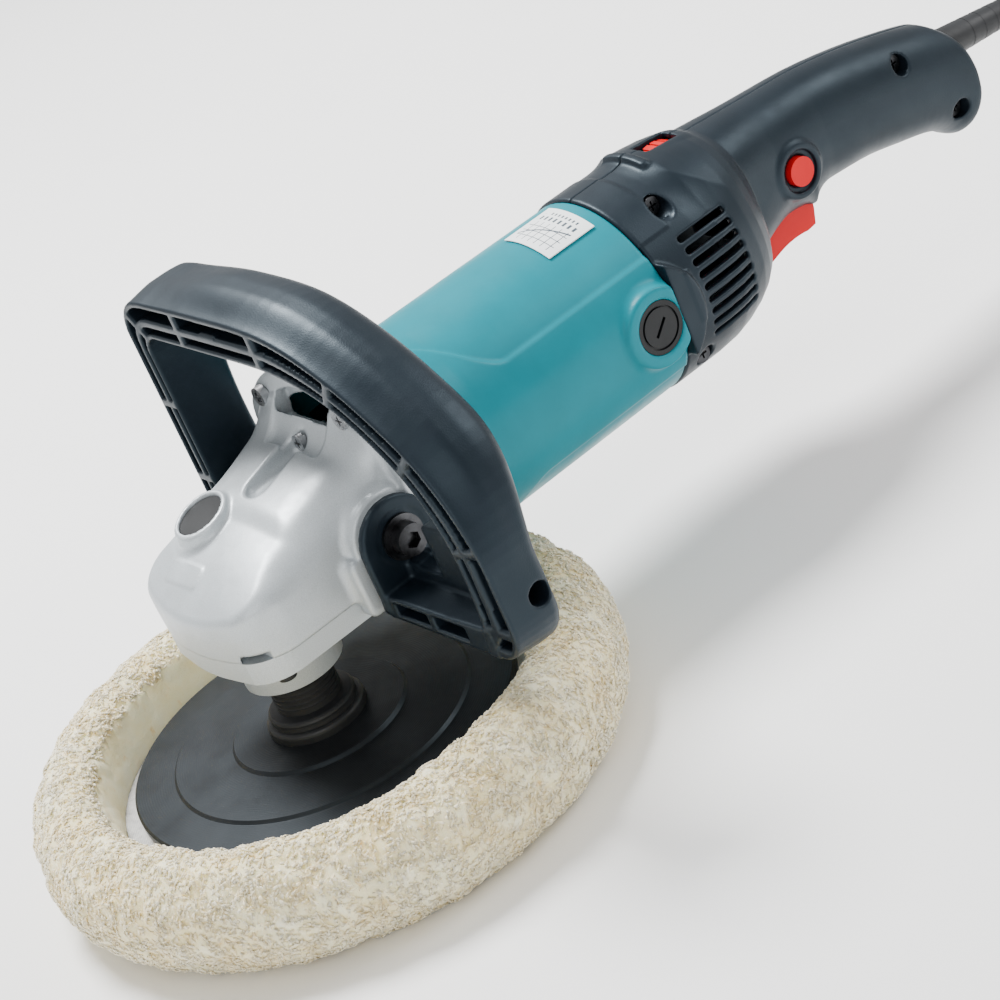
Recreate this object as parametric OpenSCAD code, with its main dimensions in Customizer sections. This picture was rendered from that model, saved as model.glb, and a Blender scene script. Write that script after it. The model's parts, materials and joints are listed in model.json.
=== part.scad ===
// Rotary polisher: a wool pad on a right-angle gear head, a barrel motor and a closed rear handle.
// Origin on the spindle axis at the wool's polishing face; +Z up the spindle, +Y towards the rear handle,
// +X to the side with the switch lock button. Lengths in millimetres.

/* [Pad] */
// Diameter of the rubber backing plate
plate_d = 165; // [150:1:170]
// Diameter of the wool pad over its rolled edge
wool_d = 255; // [245:1:262]
// Height of the wool pad's rolled edge
wool_h = 50; // [46:1:52]
// Height of the backing plate's rim above the polishing face
plate_z = 30; // [29:0.5:31]

/* [Head] */
// Height of the motor axis above the polishing face
axis_z = 108.5; // [108:0.5:109]
// Half width of the gear head
head_w = 42; // [41:0.5:44]
// How far the gear head reaches in front of the spindle
nose_y = 35; // [34:0.5:38]

/* [Motor] */
// Outer radius of the motor barrel
barrel_r = 46.5; // [46:0.5:48]
// Where the barrel meets the rear casing
barrel_end = 200; // [199:1:202]
// Distance of the brush axis behind the spindle
brush_y = 188; // [187:1:189]

/* [Loop handle] */
// Depth of the loop handle, front to back
loop_depth = 34; // [30:1:34]
// Height of the top of the loop handle
loop_top = 208; // [204:1:212]
// Radius of the loop's long outer bend
loop_r = 101; // [98:1:103]

/* [Rear handle] */
// Half width of the rear grip
grip_w = 20; // [19.5:0.5:21]

/* [Cord] */
// Diameter of the mains cord
cord_d = 7.6; // [7.2:0.1:8]
// Number of layers in the resting coil
coil_layers = 3; // [2:1:3]

/* [Hidden] */
$fn = 48;
eps = 0.01;

plate_r = plate_d / 2;
wool_r = wool_d / 2;
plate_t = 6;                        // rubber plate thickness at its rim
backing_z = plate_z - plate_t - 3.2;  // underside of the wool's backing cloth
backing_r = plate_r + 7.5;
centre_r = 24;                      // opening in the pad for the lock nut
hub_z = plate_z + 4.5;              // top of the plate's raised centre, under the hub
boss_z = 60;                        // bottom of the bearing box's round boss
boss_r = 21;
box_z = 79;                         // underside of the bearing box plate
seam_z = 89;                        // joint between bearing box and gear housing
wall = 4;                           // casting wall
flange_y = 60;                      // joint between gear housing and motor housing
flange_r = 57;
screw_angles = [55, 125, 235, 305];
flange_w = 49;                      // the flange is cut flat at this half width
front_seat_y = 44;                  // front armature bearing
front_seat_t = 8;
bolt_y = 41;                        // loop handle bolts
bolt_z = 107.2;
pad_x = 50;                         // face of the loop handle's mounting pads
lock_x = -16;                       // shaft lock button
lock_pin_x = -17;
lock_z = 129;
lock_y = -1.2;
lock_r = 9.8;                       // radius of the button
lock_top = 130.8;                   // height of its collar at the spindle
cone_in = 22;                       // bevel gear tooth, inner and outer distance from the apex
cone_out = 31;
gear_teeth = 40;
pinion_teeth = 10;
cone = atan(pinion_teeth / gear_teeth);
tooth_h = 1.0;                      // height of a tooth above the pitch line
root_h = tooth_h + 0.2;             // depth below it, with tip clearance
gear_tooth_t = 1.16;
pinion_tooth_t = 0.97;
gap = 0.05;                         // running clearance on the radius
rear_seat_y = 202;
stator_r = 42;
core_y = 100;                       // laminations of stator and armature
core_len = 60;
armature_r = 24;
loop_y = 24;                        // front face of the loop handle
loop_t = 17;                        // radial thickness of its front face
loop_dome = 5.5;                    // how far its back swells out past the front face
bend_x = 38;                        // centre of the long bend
bend_z = loop_top - loop_r;
leg_x = -62;                        // outer face of the upright leg
foot_z = 79;                        // underside of the loop's lower end
grip_y = 298.3;                     // lock button
grip_z = 114;
pivot_y = 280;                      // trigger pivot
pivot_z = 95;
dial_y = 248.8;
dial_z = 137.1;
dial_r = 16;
guard_y = 412;                      // where the cord guard leaves the handle
guard_z = 110.5;
guard_len = 58;
guard_drop = 7;                     // slope of the guard in degrees
cord_r = cord_d / 2;
cord_pitch = cord_d + 0.2;
coil_pos = [50, 665];               // centre of the resting coil
coil_r = 50;                        // centreline radius of its outer layer
plug_pos = [coil_pos[0] + coil_r, 590];  // front face of the plug, pins towards the front
plug_r = 18;
pin_gap = 19;

// Height of the gear head's top plane at a distance behind the spindle.
function top_z(y) = 126 + 0.29 * y;
// Points of a circular arc in a plane.
function arc(c, r, from, to, n = 12) = [
    for (i = [0:n]) let (a = from + (to - from) * i / n) [c[0] + r * cos(a), c[1] + r * sin(a)]
];

// Turned about the spindle axis; children are drawn as (radius, height).
module turned() { rotate_extrude($fn = 96) children(); }
// Turned about the motor axis; children are drawn as (radius, distance behind the spindle).
module turned_y() { translate([0, 0, axis_z]) rotate([-90, 0, 0]) rotate_extrude($fn = 96) children(); }
// Round bar along Y.
module bar_y(x, z, r, y0, y1) { translate([x, y0, z]) rotate([-90, 0, 0]) cylinder(r = r, h = y1 - y0); }
// Round bar along X.
module bar_x(y, z, r, x0, x1) { translate([x0, y, z]) rotate([0, 90, 0]) cylinder(r = r, h = x1 - x0); }
// Round bar along Z.
module bar_z(x, y, r, z0, z1) { translate([x, y, z0]) cylinder(r = r, h = z1 - z0); }
// Plate in the XZ plane; children are drawn as (x, z).
module slab_y(y0, y1) { translate([0, y1, 0]) rotate([90, 0, 0]) linear_extrude(y1 - y0) children(); }
// Plate in the YZ plane; children are drawn as (y, z).
module slab_x(x0, x1) { translate([x0, 0, 0]) rotate([90, 0, 90]) linear_extrude(x1 - x0) children(); }
// Keeps what lies under the head's slope raised to height h at the spindle.
module under_slope(h) {
    intersection() {
        children();
        translate([0, 0, h]) rotate([atan(0.29), 0, 0]) block([-60, -60, -60], [60, 60, 0]);
    }
}
// Box between two corners.
module block(a, b) { translate(a) cube(b - a); }
// Square with round corners.
module soft_square(a, b, r) {
    translate([a[0] + r, a[1]]) square([b[0] - a[0] - 2 * r, b[1] - a[1]]);
    translate([a[0], a[1] + r]) square([b[0] - a[0], b[1] - a[1] - 2 * r]);
    for (x = [a[0] + r, b[0] - r], y = [a[1] + r, b[1] - r]) translate([x, y]) circle(r = r);
}
// Screw with a round head, shank along local +Z, head below z = 0.
module screw(len, r = 2, head_r = 3.8, head_t = 2.6) {
    translate([0, 0, -eps]) cylinder(r = r, h = len + eps);
    difference() {
        translate([0, 0, -head_t]) cylinder(r = head_r, h = head_t);
        for (a = [0, 90]) rotate(a) translate([-2.2, -0.45, -head_t - 1]) cube([4.4, 0.9, 2.2]);
    }
}

// ---- pad, turns with the spindle ----
module wool_pad() {
    color("ivory") turned() difference() {
        union() {
            translate([wool_r - wool_h / 2, wool_h / 2]) circle(r = wool_h / 2, $fn = 96);
            square([wool_r - wool_h / 2, backing_z]);
        }
        translate([0, backing_z]) square([backing_r, wool_h]);
        translate([-1, 11]) square([centre_r + 1, wool_h]);
    }
}
module wool_backing() {
    color("khaki") turned() translate([centre_r, backing_z]) square([backing_r - centre_r - 0.3, 1.7]);
}
module hook_disc() {
    color("dimgray") turned() translate([centre_r, backing_z + 1.7]) square([plate_r - centre_r - 1, 1.5]);
}
module rubber_plate() {
    rim = plate_z - plate_t;
    color("#22252a") turned() polygon([
        [7, rim], [plate_r - 2, rim], [plate_r, rim + 2], [plate_r, plate_z - 1], [plate_r - 1, plate_z],
        [64.4, plate_z + 0.8], [63.2, plate_z + 2], [38, plate_z + 3], [36.8, hub_z], [7, hub_z]
    ]);
}
module lock_nut() {
    rim = plate_z - plate_t;
    color("silver") difference() {
        union() {
            bar_z(0, 0, 17, rim - 3, rim);
            translate([0, 0, rim - 8]) cylinder(r = 12.7, h = 5.5, $fn = 6);
        }
        bar_z(0, 0, 7, rim - 9, rim + 1);
        for (a = [0:90:270]) rotate(a) bar_z(14.4, 0, 1.2, rim - 4, rim + 1);
    }
}
module drive_hub() {
    rings = [for (i = [0:4]) hub_z + 12.5 + 2.2 * i];
    color("#1b1d20") turned() difference() {
        polygon(concat(
            [[7, hub_z], [21, hub_z], [21, hub_z + 2.5]], arc([18.8, hub_z + 2.5], 2.2, 0, 90, 4),
            [[18.6, hub_z + 4.7]], arc([16.6, hub_z + 7], 2, -20, 90, 4),
            [[14, hub_z + 9.4], [14, boss_z - 1.5], [7, boss_z - 1.5]]
        ));
        for (z = rings) translate([14, z]) circle(r = 0.5, $fn = 24);
    }
}
module spindle() {
    color("silver") turned() polygon([
        [0, 17], [6.4, 17], [7, 17.6], [7, boss_z - 1], [7.5, boss_z - 1], [7.5, 75], [9.5, 75],
        [9.5, 90], [7.5, 90], [7.5, 101.5], [5, 101.5], [5, 113.5], [4.5, 114], [0, 114]
    ]);
}
// Point on the gear's tooth cone: s from the apex, h above the pitch line.
function gear_at(s, h) = [s * cos(cone) + h * sin(cone), axis_z - s * sin(cone) + h * cos(cone)];
function pinion_at(s, h) = [s * sin(cone) + h * cos(cone), s * cos(cone) - h * sin(cone)];
module bevel_gear() {
    color("gray") difference() {
        union() {
            turned() polygon([
                [7.5, 90.5], [cone_out - 4, 95], gear_at(cone_out, -root_h - 2), gear_at(cone_out, -root_h),
                gear_at(cone_in, -root_h), [20.4, 101], [7.5, 101]
            ]);
            for (i = [0:gear_teeth - 1]) rotate(90 + (i + 0.5) * 360 / gear_teeth)
                translate([0, gear_tooth_t / 2, 0]) rotate([90, 0, 0]) linear_extrude(gear_tooth_t) polygon([
                    gear_at(cone_in, -root_h - 1), gear_at(cone_out, -root_h - 1),
                    gear_at(cone_out, tooth_h), gear_at(cone_in, tooth_h)
                ]);
        }
        for (a = [0:60:300]) rotate(a) bar_z(-lock_pin_x, 0, 2.9, 88, 103);
    }
}
module spindle_bearing() {
    color("lightsteelblue") turned() difference() {
        translate([7.5 + gap, 66]) square([16 - 7.5 - gap, 9]);
        for (z = [66, 75]) translate([11, z - 0.8]) square([2, 1.6]);
    }
}
module spindle_bush() {
    color("darkgoldenrod") turned() translate([5 + gap, 103]) square([4, 10]);
}

// ---- gear head ----
module head_outline(inset = 0) {
    front = -nose_y + inset;
    side = head_w - inset;
    polygon(concat(
        [[-side, flange_y - 6]], arc([-side + 18, front + 20], 18, 180, 250, 8),
        arc([0, front + 92], 92, 262, 278, 8), arc([side - 18, front + 20], 18, 290, 360, 8),
        [[side, flange_y - 6]]
    ));
}
// Side view of the gear head; top plane slopes up to the flange.
module head_profile(inset = 0) {
    polygon([
        [-nose_y - 2 + inset, seam_z], [-nose_y - 2 + inset, 105 - inset / 2], [-24 + inset, 119 - inset],
        [flange_y - 6, top_z(flange_y - 6) - inset], [flange_y - 6, seam_z]
    ]);
}
module flange_outline(r, w) {
    translate([0, axis_z]) intersection() {
        circle(r = r, $fn = 96);
        square([2 * w, 2.2 * r], center = true);
    }
}
module gear_housing() {
    color("silver") difference() {
        union() {
            intersection() {
                translate([0, 0, seam_z]) linear_extrude(70) head_outline();
                slab_x(-60, 60) head_profile();
            }
            slab_y(flange_y - 8, flange_y) flange_outline(flange_r, flange_w);
            turned_y() polygon([[0, 20], [34, 20], [46, flange_y - 8], [0, flange_y - 8]]);
            for (s = [-1, 1]) bar_x(bolt_y, bolt_z, 15, min(s * 30, s * pad_x), max(s * 30, s * pad_x));
            for (s = [-1, 1]) translate([s * (head_w + 1.5), 27, 0]) block([-3.2, -3, 75], [3.2, 3, 112]);
            under_slope(lock_top) bar_z(lock_x, lock_y, lock_r + 2.6, 112, lock_z + 9);
        }
        // seat of the bearing box
        block([-head_w + 1.8, -60, 50], [head_w - 1.8, 38.2, seam_z]);
        // gear chamber, open below and behind
        intersection() {
            translate([0, 0, seam_z - 1]) linear_extrude(70) head_outline(wall);
            slab_x(-60, 60) translate([0, -1]) head_profile(wall);
            block([-60, -60, 80], [60, 36, 130]);
        }
        turned_y() polygon([[0, 30], [13, 30], [13, front_seat_y], [0, front_seat_y]]);
        turned_y() square([14, front_seat_y + front_seat_t]);
        turned_y() polygon([
            [0, front_seat_y + front_seat_t - eps], [20, front_seat_y + front_seat_t - eps],
            [42, flange_y - 3],
            [44, flange_y + 1], [0, flange_y + 1]
        ]);
        // air outlet, a pocket between the top plane and the flange
        slab_y(flange_y - 10, flange_y - 5) intersection() {
            translate([0, axis_z]) circle(r = 48);
            translate([-20, 141]) square([40, 30]);
        }
        // shaft lock well
        bar_z(lock_x, lock_y, lock_r + 0.1, lock_z - 9, lock_z + 9);
        bar_z(lock_pin_x, 0, 2.6, 90, lock_z);
        // recess over the bearing plate screw
        translate([0, 14, top_z(14) - 5]) rotate([16, 0, 0]) linear_extrude(20)
            soft_square([-7, 0], [7, 36], 6.9);
        bar_y(0, 138, 1.7, 30, flange_y + 1);
        for (a = screw_angles)
            bar_y(51 * cos(a), axis_z + 51 * sin(a), 2.1, flange_y - 12, flange_y + 1);
        for (s = [-1, 1]) bar_x(bolt_y, bolt_z, 3.4, min(s * 36, s * 51), max(s * 36, s * 51));
        for (x = [-1, 1], y = [-18, 26]) bar_z(x * 33, y, 1.9, seam_z - 1, seam_z + 12);
    }
    // boss that carries the spindle's upper bush
    color("silver") difference() {
        union() {
            bar_z(0, 0, 12, 103, 123);
            bar_z(lock_pin_x, 0, 5.2, 105, 123.5);
        }
        bar_z(0, 0, 9 + gap, 102, 113);
        bar_z(0, 0, 6, 112, 116);
        bar_z(lock_pin_x, 0, 2.6, 100, 130);
        bar_z(lock_x, lock_y, lock_r + 0.1, lock_z - 9, lock_z + 9);
    }
}
module head_screws() {
    color("dimgray") {
        for (a = screw_angles) translate([51 * cos(a), flange_y - 8, axis_z + 51 * sin(a)])
            rotate([-90, 0, 0]) screw(20, 2.1, 4.2, 3.4);
        translate([0, 45, 138]) rotate([-90, 0, 0]) screw(12, 1.7, 3.6, 2.6);
    }
}
module bearing_box() {
    color("gainsboro") difference() {
        union() {
            translate([0, 0, box_z]) linear_extrude(seam_z - box_z) intersection() {
                head_outline(2);
                translate([-60, -60]) square([120, 98]);
            }
            bar_z(0, 0, boss_r, boss_z, box_z + 1);
        }
        bar_z(0, 0, 16, 66, 76);
        bar_z(0, 0, 13, 75, seam_z + 1);
        bar_z(0, 0, 10.5, boss_z - 1, 67);
        for (x = [-1, 1], y = [-18, 26]) bar_z(x * 33, y, 2.1, box_z - 1, seam_z + 1);
    }
}
module box_screws() {
    color("dimgray") for (x = [-1, 1], y = [-18, 26]) translate([x * 33, y, box_z]) screw(18, 1.9, 3.8, 3);
}
module shaft_lock_button() {
    color("#16181b") difference() {
        under_slope(lock_top - 1.3) bar_z(lock_x, lock_y, lock_r, lock_z - 4, lock_z + 9);
        bar_z(lock_pin_x, 0, 2.5, lock_z - 5, lock_z - 2);
    }
}
module shaft_lock_pin() { color("silver") bar_z(lock_pin_x, 0, 2.5, 103, lock_z - 2); }
module shaft_lock_spring() {
    color("silver") difference() {
        bar_z(lock_pin_x, 0, 3.8, lock_z - 9, lock_z - 4);
        bar_z(lock_pin_x, 0, 2.9, lock_z - 10, lock_z - 3);
    }
}

// ---- loop handle ----
// Outer and inner edge of the loop; grow moves both outwards or inwards.
function loop_outer(g) = concat(
    [[leg_x - g, foot_z + 20]], arc([leg_x + 18, loop_top - 18], 18 + g, 180, 90, 6),
    arc([bend_x, bend_z], loop_r + g, 90, 0, 24),
    arc([bend_x + loop_r - 17, foot_z + 17], 17 + g, 0, -90, 6)
);
function loop_inner(g) = concat(
    [[bend_x + loop_r - loop_t - g, foot_z - g]], arc([bend_x, bend_z], loop_r - loop_t - g, 0, 90, 24),
    arc([leg_x + 20, loop_top - loop_t - 8], 8 - g, 90, 180, 4), [[leg_x + 12, foot_z + 20]]
);
module loop_band(g_out, g_in) { polygon(concat(loop_outer(g_out), loop_inner(g_in))); }
// One pocket of the front face, between two angles of the long bend.
module loop_pocket(r0, r1, a0, a1) {
    polygon(concat(arc([bend_x, bend_z], r0, a0, a1, 6), arc([bend_x, bend_z], r1, a1, a0, 6)));
}
module loop_handle() {
    back = loop_y + loop_depth;
    foot = [bend_x + loop_r - loop_t, foot_z];
    color("#2b343c") difference() {
        union() {
            slab_y(loop_y, back) loop_band(0, 0);
            slab_y(loop_y + 5, back - 5) loop_band(loop_dome - 2, 0);
            slab_y(loop_y + 10, back - 11) loop_band(loop_dome, 0);
            // lower rim and web back to the near bolt
            slab_y(loop_y, back)
                polygon([[pad_x + 2, foot_z], foot, foot + [1, 11], [pad_x + 2, foot_z + 11]]);
            slab_y(bolt_y - 3, bolt_y + 5) polygon([
                [pad_x + 2, foot_z], foot, [bend_x + loop_r - loop_t, bend_z + 12], [pad_x + 2, axis_z + 14]
            ]);
            slab_x(pad_x, pad_x + 4) polygon(concat(
                [[back, foot_z], [back, axis_z]], arc([bolt_y - 1, bolt_z], 17, 20, 165, 10),
                [[22.7, bolt_z - 8], [22.7, foot_z + 3], [25, foot_z]]
            ));
            block([pad_x + 3, bolt_y - 2, 90.5], [pad_x + 10.5, bolt_y + 8, 98]);
            // far leg, rounded under its bolt
            slab_x(leg_x, leg_x + 12) polygon(concat(
                [[back - 6, loop_top - 20]], arc([bolt_y - 1, axis_z - 12], 17, 0, -180, 12),
                [[loop_y, loop_top - 20]]
            ));
        }
        // bolt holes and their counterbores
        for (s = [-1, 1]) bar_x(bolt_y, bolt_z, 4.4, min(s * 45, s * 70), max(s * 45, s * 70));
        bar_x(bolt_y, bolt_z, 11, pad_x + 4, pad_x + 24);
        bar_x(bolt_y, bolt_z, 11, leg_x - 8, leg_x + 8);
        // pockets in the front face, two rows between ribs
        slab_y(loop_y - 1, loop_y + 14) {
            for (a = [[0, 21], [24, 45], [48, 68], [71, 88]]) {
                loop_pocket(loop_r - 7.5, loop_r - 2.5, a[0], a[1]);
                loop_pocket(loop_r - 14.5, loop_r - 11, a[0], a[1]);
            }
            for (x = [[-16, 36], [-46, -20]], z = [[2.5, 7.5], [11, 14.5]])
                translate([x[0], loop_top - z[1]]) square([x[1] - x[0], z[1] - z[0]]);
            for (z = [[foot_z + 20, bend_z - 3]], r = [[7.5, 2.5], [14.5, 11]])
                translate([bend_x + loop_r - r[0], z[0] - 10]) square([r[0] - r[1], z[1] - z[0] + 10]);
            for (x = [[pad_x + 6, pad_x + 28], [pad_x + 31, pad_x + 52]]) translate([x[0], foot_z + 3])
                square([x[1] - x[0], 5]);
        }
        bar_x(loop_y + 16.2, foot_z + 23.7, 4.9, 119, 160);
        // the low end is less deep
        block([104, back - 10, foot_z - 1], [160, back + 1, 122]);
    }
}
module loop_bolts() {
    color("#3a3d40") for (s = [0, 180]) rotate([0, 0, s]) translate([0, s == 0 ? bolt_y : -bolt_y, bolt_z])
        rotate([0, 90, 0]) difference() {
            union() {
                translate([0, 0, 37]) cylinder(r = 3.3, h = 21);
                translate([0, 0, 55.6]) cylinder(r = 6.6, h = 6);
            }
            translate([0, 0, 58.4]) cylinder(r = 3.6, h = 6, $fn = 6);
        }
}
module loop_washers() {
    color("silver") for (s = [-1, 1]) difference() {
        bar_x(bolt_y, bolt_z, 9.3, min(s * 54, s * 55.6), max(s * 54, s * 55.6));
        bar_x(bolt_y, bolt_z, 4.2, min(s * 53, s * 57), max(s * 53, s * 57));
    }
}

// ---- motor ----
module motor_housing() {
    color("#00aabd") difference() {
        union() {
            difference() {
                motor_barrel();
                difference() {
                    turned_y() polygon([
                        [0, flange_y - 1], [43.5, flange_y - 1], [43.5, core_y - 3], [stator_r, core_y - 3],
                        [stator_r, core_y + core_len + 3], [43.5, core_y + core_len + 5],
                        [43.5, barrel_end + 1], [0, barrel_end + 1]
                    ]);
                    // tubes that hold the brush holders
                    for (s = [-1, 1]) bar_x(brush_y, axis_z, 11, min(s * 20, s * 46), max(s * 20, s * 46));
                }
            }
            bearing_spider();
        }
        for (s = [-1, 1]) {
            bar_x(brush_y, axis_z, 7.5, min(s * 19, s * 42.5), max(s * 19, s * 42.5));
            bar_x(brush_y, axis_z, 9, min(s * 42, s * 44), max(s * 42, s * 44));
            bar_x(brush_y, axis_z, 11.5, min(s * 43.5, s * 49), max(s * 43.5, s * 49));
        }
        for (a = screw_angles)
            bar_y(51 * cos(a), axis_z + 51 * sin(a), 2.1, flange_y - 1, flange_y + 14);
    }
}
// Outside of the motor housing: flange, flare, barrel and the two brush bosses.
module motor_barrel() {
    flare = flange_y + 22;
    slab_y(flange_y, flange_y + 8) flange_outline(flange_r - 0.5, flange_w);
    intersection() {
        turned_y() polygon([
            [0, flange_y + 8], [flange_r - 1, flange_y + 8], [barrel_r + 1.5, flare - 4],
            [barrel_r, flare + 4],
            [barrel_r, barrel_end], [0, barrel_end]
        ]);
        block([-flange_w, 0, 0], [flange_w, 300, 300]);
    }
    intersection() {
        for (s = [-1, 1]) bar_x(brush_y, axis_z, 17, min(s * 30, s * 48.5), max(s * 30, s * 48.5));
        block([-100, 0, 0], [100, barrel_end, 300]);
    }
}
// Spider that carries the rear bearing, and the spigot inside the rear casing.
module bearing_spider() {
    difference() {
        turned_y() union() {
            translate([13, rear_seat_y - 3]) square([29.8, 4]);
            translate([13, rear_seat_y - 3]) square([2.5, 12]);
            translate([41, barrel_end - 6]) square([1.8, 10]);
            translate([41, barrel_end - 6]) square([3, 5]);
        }
        for (a = [0:60:300]) translate([0, rear_seat_y - 5, axis_z]) rotate([0, a + 30, 0])
            block([17, 0, -9], [39.5, 8, 9]);
    }
}
module chart_label() {
    color("white") intersection() {
        turned_y() translate([barrel_r, 167.5]) square([0.4, 25.5]);
        translate([0, 0, axis_z + 38]) block([-6, 160, -1], [21.5, 200, 12]);
    }
}
module fan() {
    color("#33363a") {
        turned_y() polygon([[6, 66], [10, 66], [10, 70], [39, 77.5], [39, 79.5], [6, 79.5]]);
        for (i = [0:12]) translate([0, 0, axis_z]) rotate([0, i * 360 / 13, 0])
            translate([-0.8, 0, 0]) rotate([90, 0, 90]) linear_extrude(1.6)
            polygon([[67, 12], [67, 38], [78, 38.8], [76, 12]]);
    }
}
module fan_baffle() {
    color("#33363a") turned_y() polygon([
        [27, 86], [30, 83.5], [43.5, 83.5], [43.5, 88], [41.5, 88], [41.5, 85.5], [30, 85.5], [28, 87]
    ]);
}
module pinion() {
    color("gray") {
        turned_y() polygon(concat(
            [[3.2, 21], pinion_at(cone_in, -root_h), pinion_at(cone_out, -root_h), [6.2, cone_out + 0.5],
            [9, cone_out + 0.5], [9, cone_out + 4], [3.2, cone_out + 4]]
        ));
        for (i = [0:pinion_teeth - 1]) translate([0, 0, axis_z]) rotate([0, i * 360 / pinion_teeth, 0])
            translate([-pinion_tooth_t / 2, 0, 0]) rotate([90, 0, 90]) linear_extrude(pinion_tooth_t)
            polygon([for (p = [
                pinion_at(cone_in, tooth_h), pinion_at(cone_out, tooth_h),
                pinion_at(cone_out, -root_h - 0.6), pinion_at(cone_in, -root_h - 0.6)
            ]) [p[1], -p[0]]]);
    }
}
module armature_shaft() {
    color("silver") turned_y() polygon([
        [0, 19], [2.7, 19], [3.2, 19.5], [3.2, cone_out + 4], [6, cone_out + 4], [6, 176], [5, 176],
        [5, rear_seat_y - 1],
        [4, rear_seat_y - 1], [4, rear_seat_y + 8], [3.5, rear_seat_y + 8.5], [0, rear_seat_y + 8.5]
    ]);
}
module armature_core() {
    color("dimgray") difference() {
        turned_y() translate([6, core_y]) square([armature_r - 6, core_len]);
        for (a = [0:30:330]) translate([0, core_y - 1, axis_z]) rotate([0, a, 0])
            block([18, 0, -1.6], [25, core_len + 2, 1.6]);
    }
}
module armature_winding() {
    color("#a4572a") for (y = [[88, core_y], [core_y + core_len, 172]])
        turned_y() difference() {
            translate([6, y[0]]) soft_square([0, 0], [16, y[1] - y[0]], 3);
            translate([0, y[0] - 1]) square([6, 20]);
        }
}
module commutator() {
    color("peru") difference() {
        turned_y() polygon([[5, 177], [13.5, 177], [13.5, 180], [12, 180], [12, 197], [5, 197]]);
        for (a = [0:15:345]) translate([0, 176, axis_z]) rotate([0, a, 0])
            block([11, 0, -0.2], [14, 22, 0.2]);
    }
}
module ball_bearing(r_in, r_out, y0, y1) {
    mid = (r_in + r_out) / 2;
    color("lightsteelblue") turned_y() difference() {
        translate([r_in, y0]) square([r_out - r_in, y1 - y0]);
        for (y = [y0, y1]) translate([mid - 1, y - 0.7]) square([2, 1.4]);
    }
}
module front_bearing() { ball_bearing(6 + gap, 14, front_seat_y, front_seat_y + front_seat_t); }
module rear_bearing() { ball_bearing(4 + gap, 11, rear_seat_y, rear_seat_y + 7); }
module bearing_cup() {
    color("#1b1d20") turned_y() polygon([
        [11, rear_seat_y], [11, rear_seat_y + 7], [6, rear_seat_y + 7], [6, rear_seat_y + 9],
        [13, rear_seat_y + 9], [13, rear_seat_y]
    ]);
}
module stator_core() {
    color("slategray")
        translate([0, core_y, axis_z]) rotate([-90, 0, 0]) linear_extrude(core_len) difference() {
        circle(r = stator_r, $fn = 96);
        circle(r = armature_r + 0.6, $fn = 96);
        for (s = [-1, 1]) translate([s * 31.5, 0]) square([7.4, 40.4], center = true);
    }
}
module field_coils() {
    color("#a4572a") for (s = [-1, 1]) {
        block([s * 31.5 - 3.6, 90, axis_z - 20], [s * 31.5 + 3.6, 170, axis_z + 20]);
    }
}
module brush_holders() {
    color("goldenrod") for (s = [-1, 1]) difference() {
        bar_x(brush_y, axis_z, 7.5, min(s * 13.5, s * 42.5), max(s * 13.5, s * 42.5));
        slab_x(min(s * 12, s * 44), max(s * 12, s * 44))
            translate([brush_y, axis_z]) square([6.6, 10.6], center = true);
    }
}
module carbon_brushes() {
    color("#303133") for (s = [-1, 1]) slab_x(min(s * 12.3, s * 27), max(s * 12.3, s * 27))
        translate([brush_y, axis_z]) square([6.4, 10.4], center = true);
}
module brush_springs() {
    color("silver") for (s = [-1, 1]) difference() {
        bar_x(brush_y, axis_z, 2.6, min(s * 27, s * 42.5), max(s * 27, s * 42.5));
        bar_x(brush_y, axis_z, 1.9, min(s * 26, s * 43), max(s * 26, s * 43));
    }
}
module brush_caps() {
    color("#1b1d20") for (s = [-1, 1]) difference() {
        union() {
            bar_x(brush_y, axis_z, 9, min(s * 42.5, s * 44), max(s * 42.5, s * 44));
            bar_x(brush_y, axis_z, 11.3, min(s * 43.6, s * 47), max(s * 43.6, s * 47));
            difference() {
                bar_x(brush_y, axis_z, 11.3, min(s * 46.9, s * 48), max(s * 46.9, s * 48));
                bar_x(brush_y, axis_z, 9.4, min(s * 46, s * 49), max(s * 46, s * 49));
            }
            bar_x(brush_y, axis_z, 8.4, min(s * 46.9, s * 48), max(s * 46.9, s * 48));
        }
        slab_x(min(s * 46.5, s * 49), max(s * 46.5, s * 49))
            translate([brush_y, axis_z]) rotate(-48) square([1.4, 9], center = true);
    }
}

// ---- rear casing and grip ----
// Stations down the grip: distance behind the spindle, centre height, half height, half width.
grip = [
    [250, 121, 31, 28], [285, 119.5, 30.5, grip_w + 1], [318, 119, 27, grip_w],
    [352, 116, 24.5, grip_w], [386, 107, 25, grip_w], [402, 99, 25.5, grip_w]
];
module grip_station(p) {
    translate([0, p[0], p[1]]) rotate([90, 0, 0]) linear_extrude(1)
        scale([p[3], p[2]]) circle(r = 1, $fn = 32);
}
module grip_body() {
    for (i = [0:4]) hull() { grip_station(grip[i]); grip_station(grip[i + 1]); }
    hull() {
        grip_station(grip[5]);
        translate([0, 402, 94]) rotate([-12, 0, 0]) translate([0, 0, -21]) linear_extrude(42)
            scale([grip_w - 4, 6]) circle(r = 1, $fn = 24);
    }
}
module casing_block() {
    turned_y() polygon([
        [0, barrel_end], [barrel_r, barrel_end], [barrel_r, 229], [45, 244], [41, 256], [33, 265], [0, 269]
    ]);
    grip_body();
    bar_x(grip_y, grip_z, 12.5, 14, grip_w + 2.5);
    block([-14, 230, axis_z + 40], [14, 234.4, axis_z + 49.8]);
    block([-8, 238, axis_z + 36], [8, 262, axis_z + 43]);
}
// Casing screws: distance behind the spindle, height, where the head seats and where the boss ends.
case_screws = [[220.3, 143.5, 22, 26], [212, 78, 30, 31], [371, 124.3, 10, 14], [396, 88.5, 10, 14]];
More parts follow.
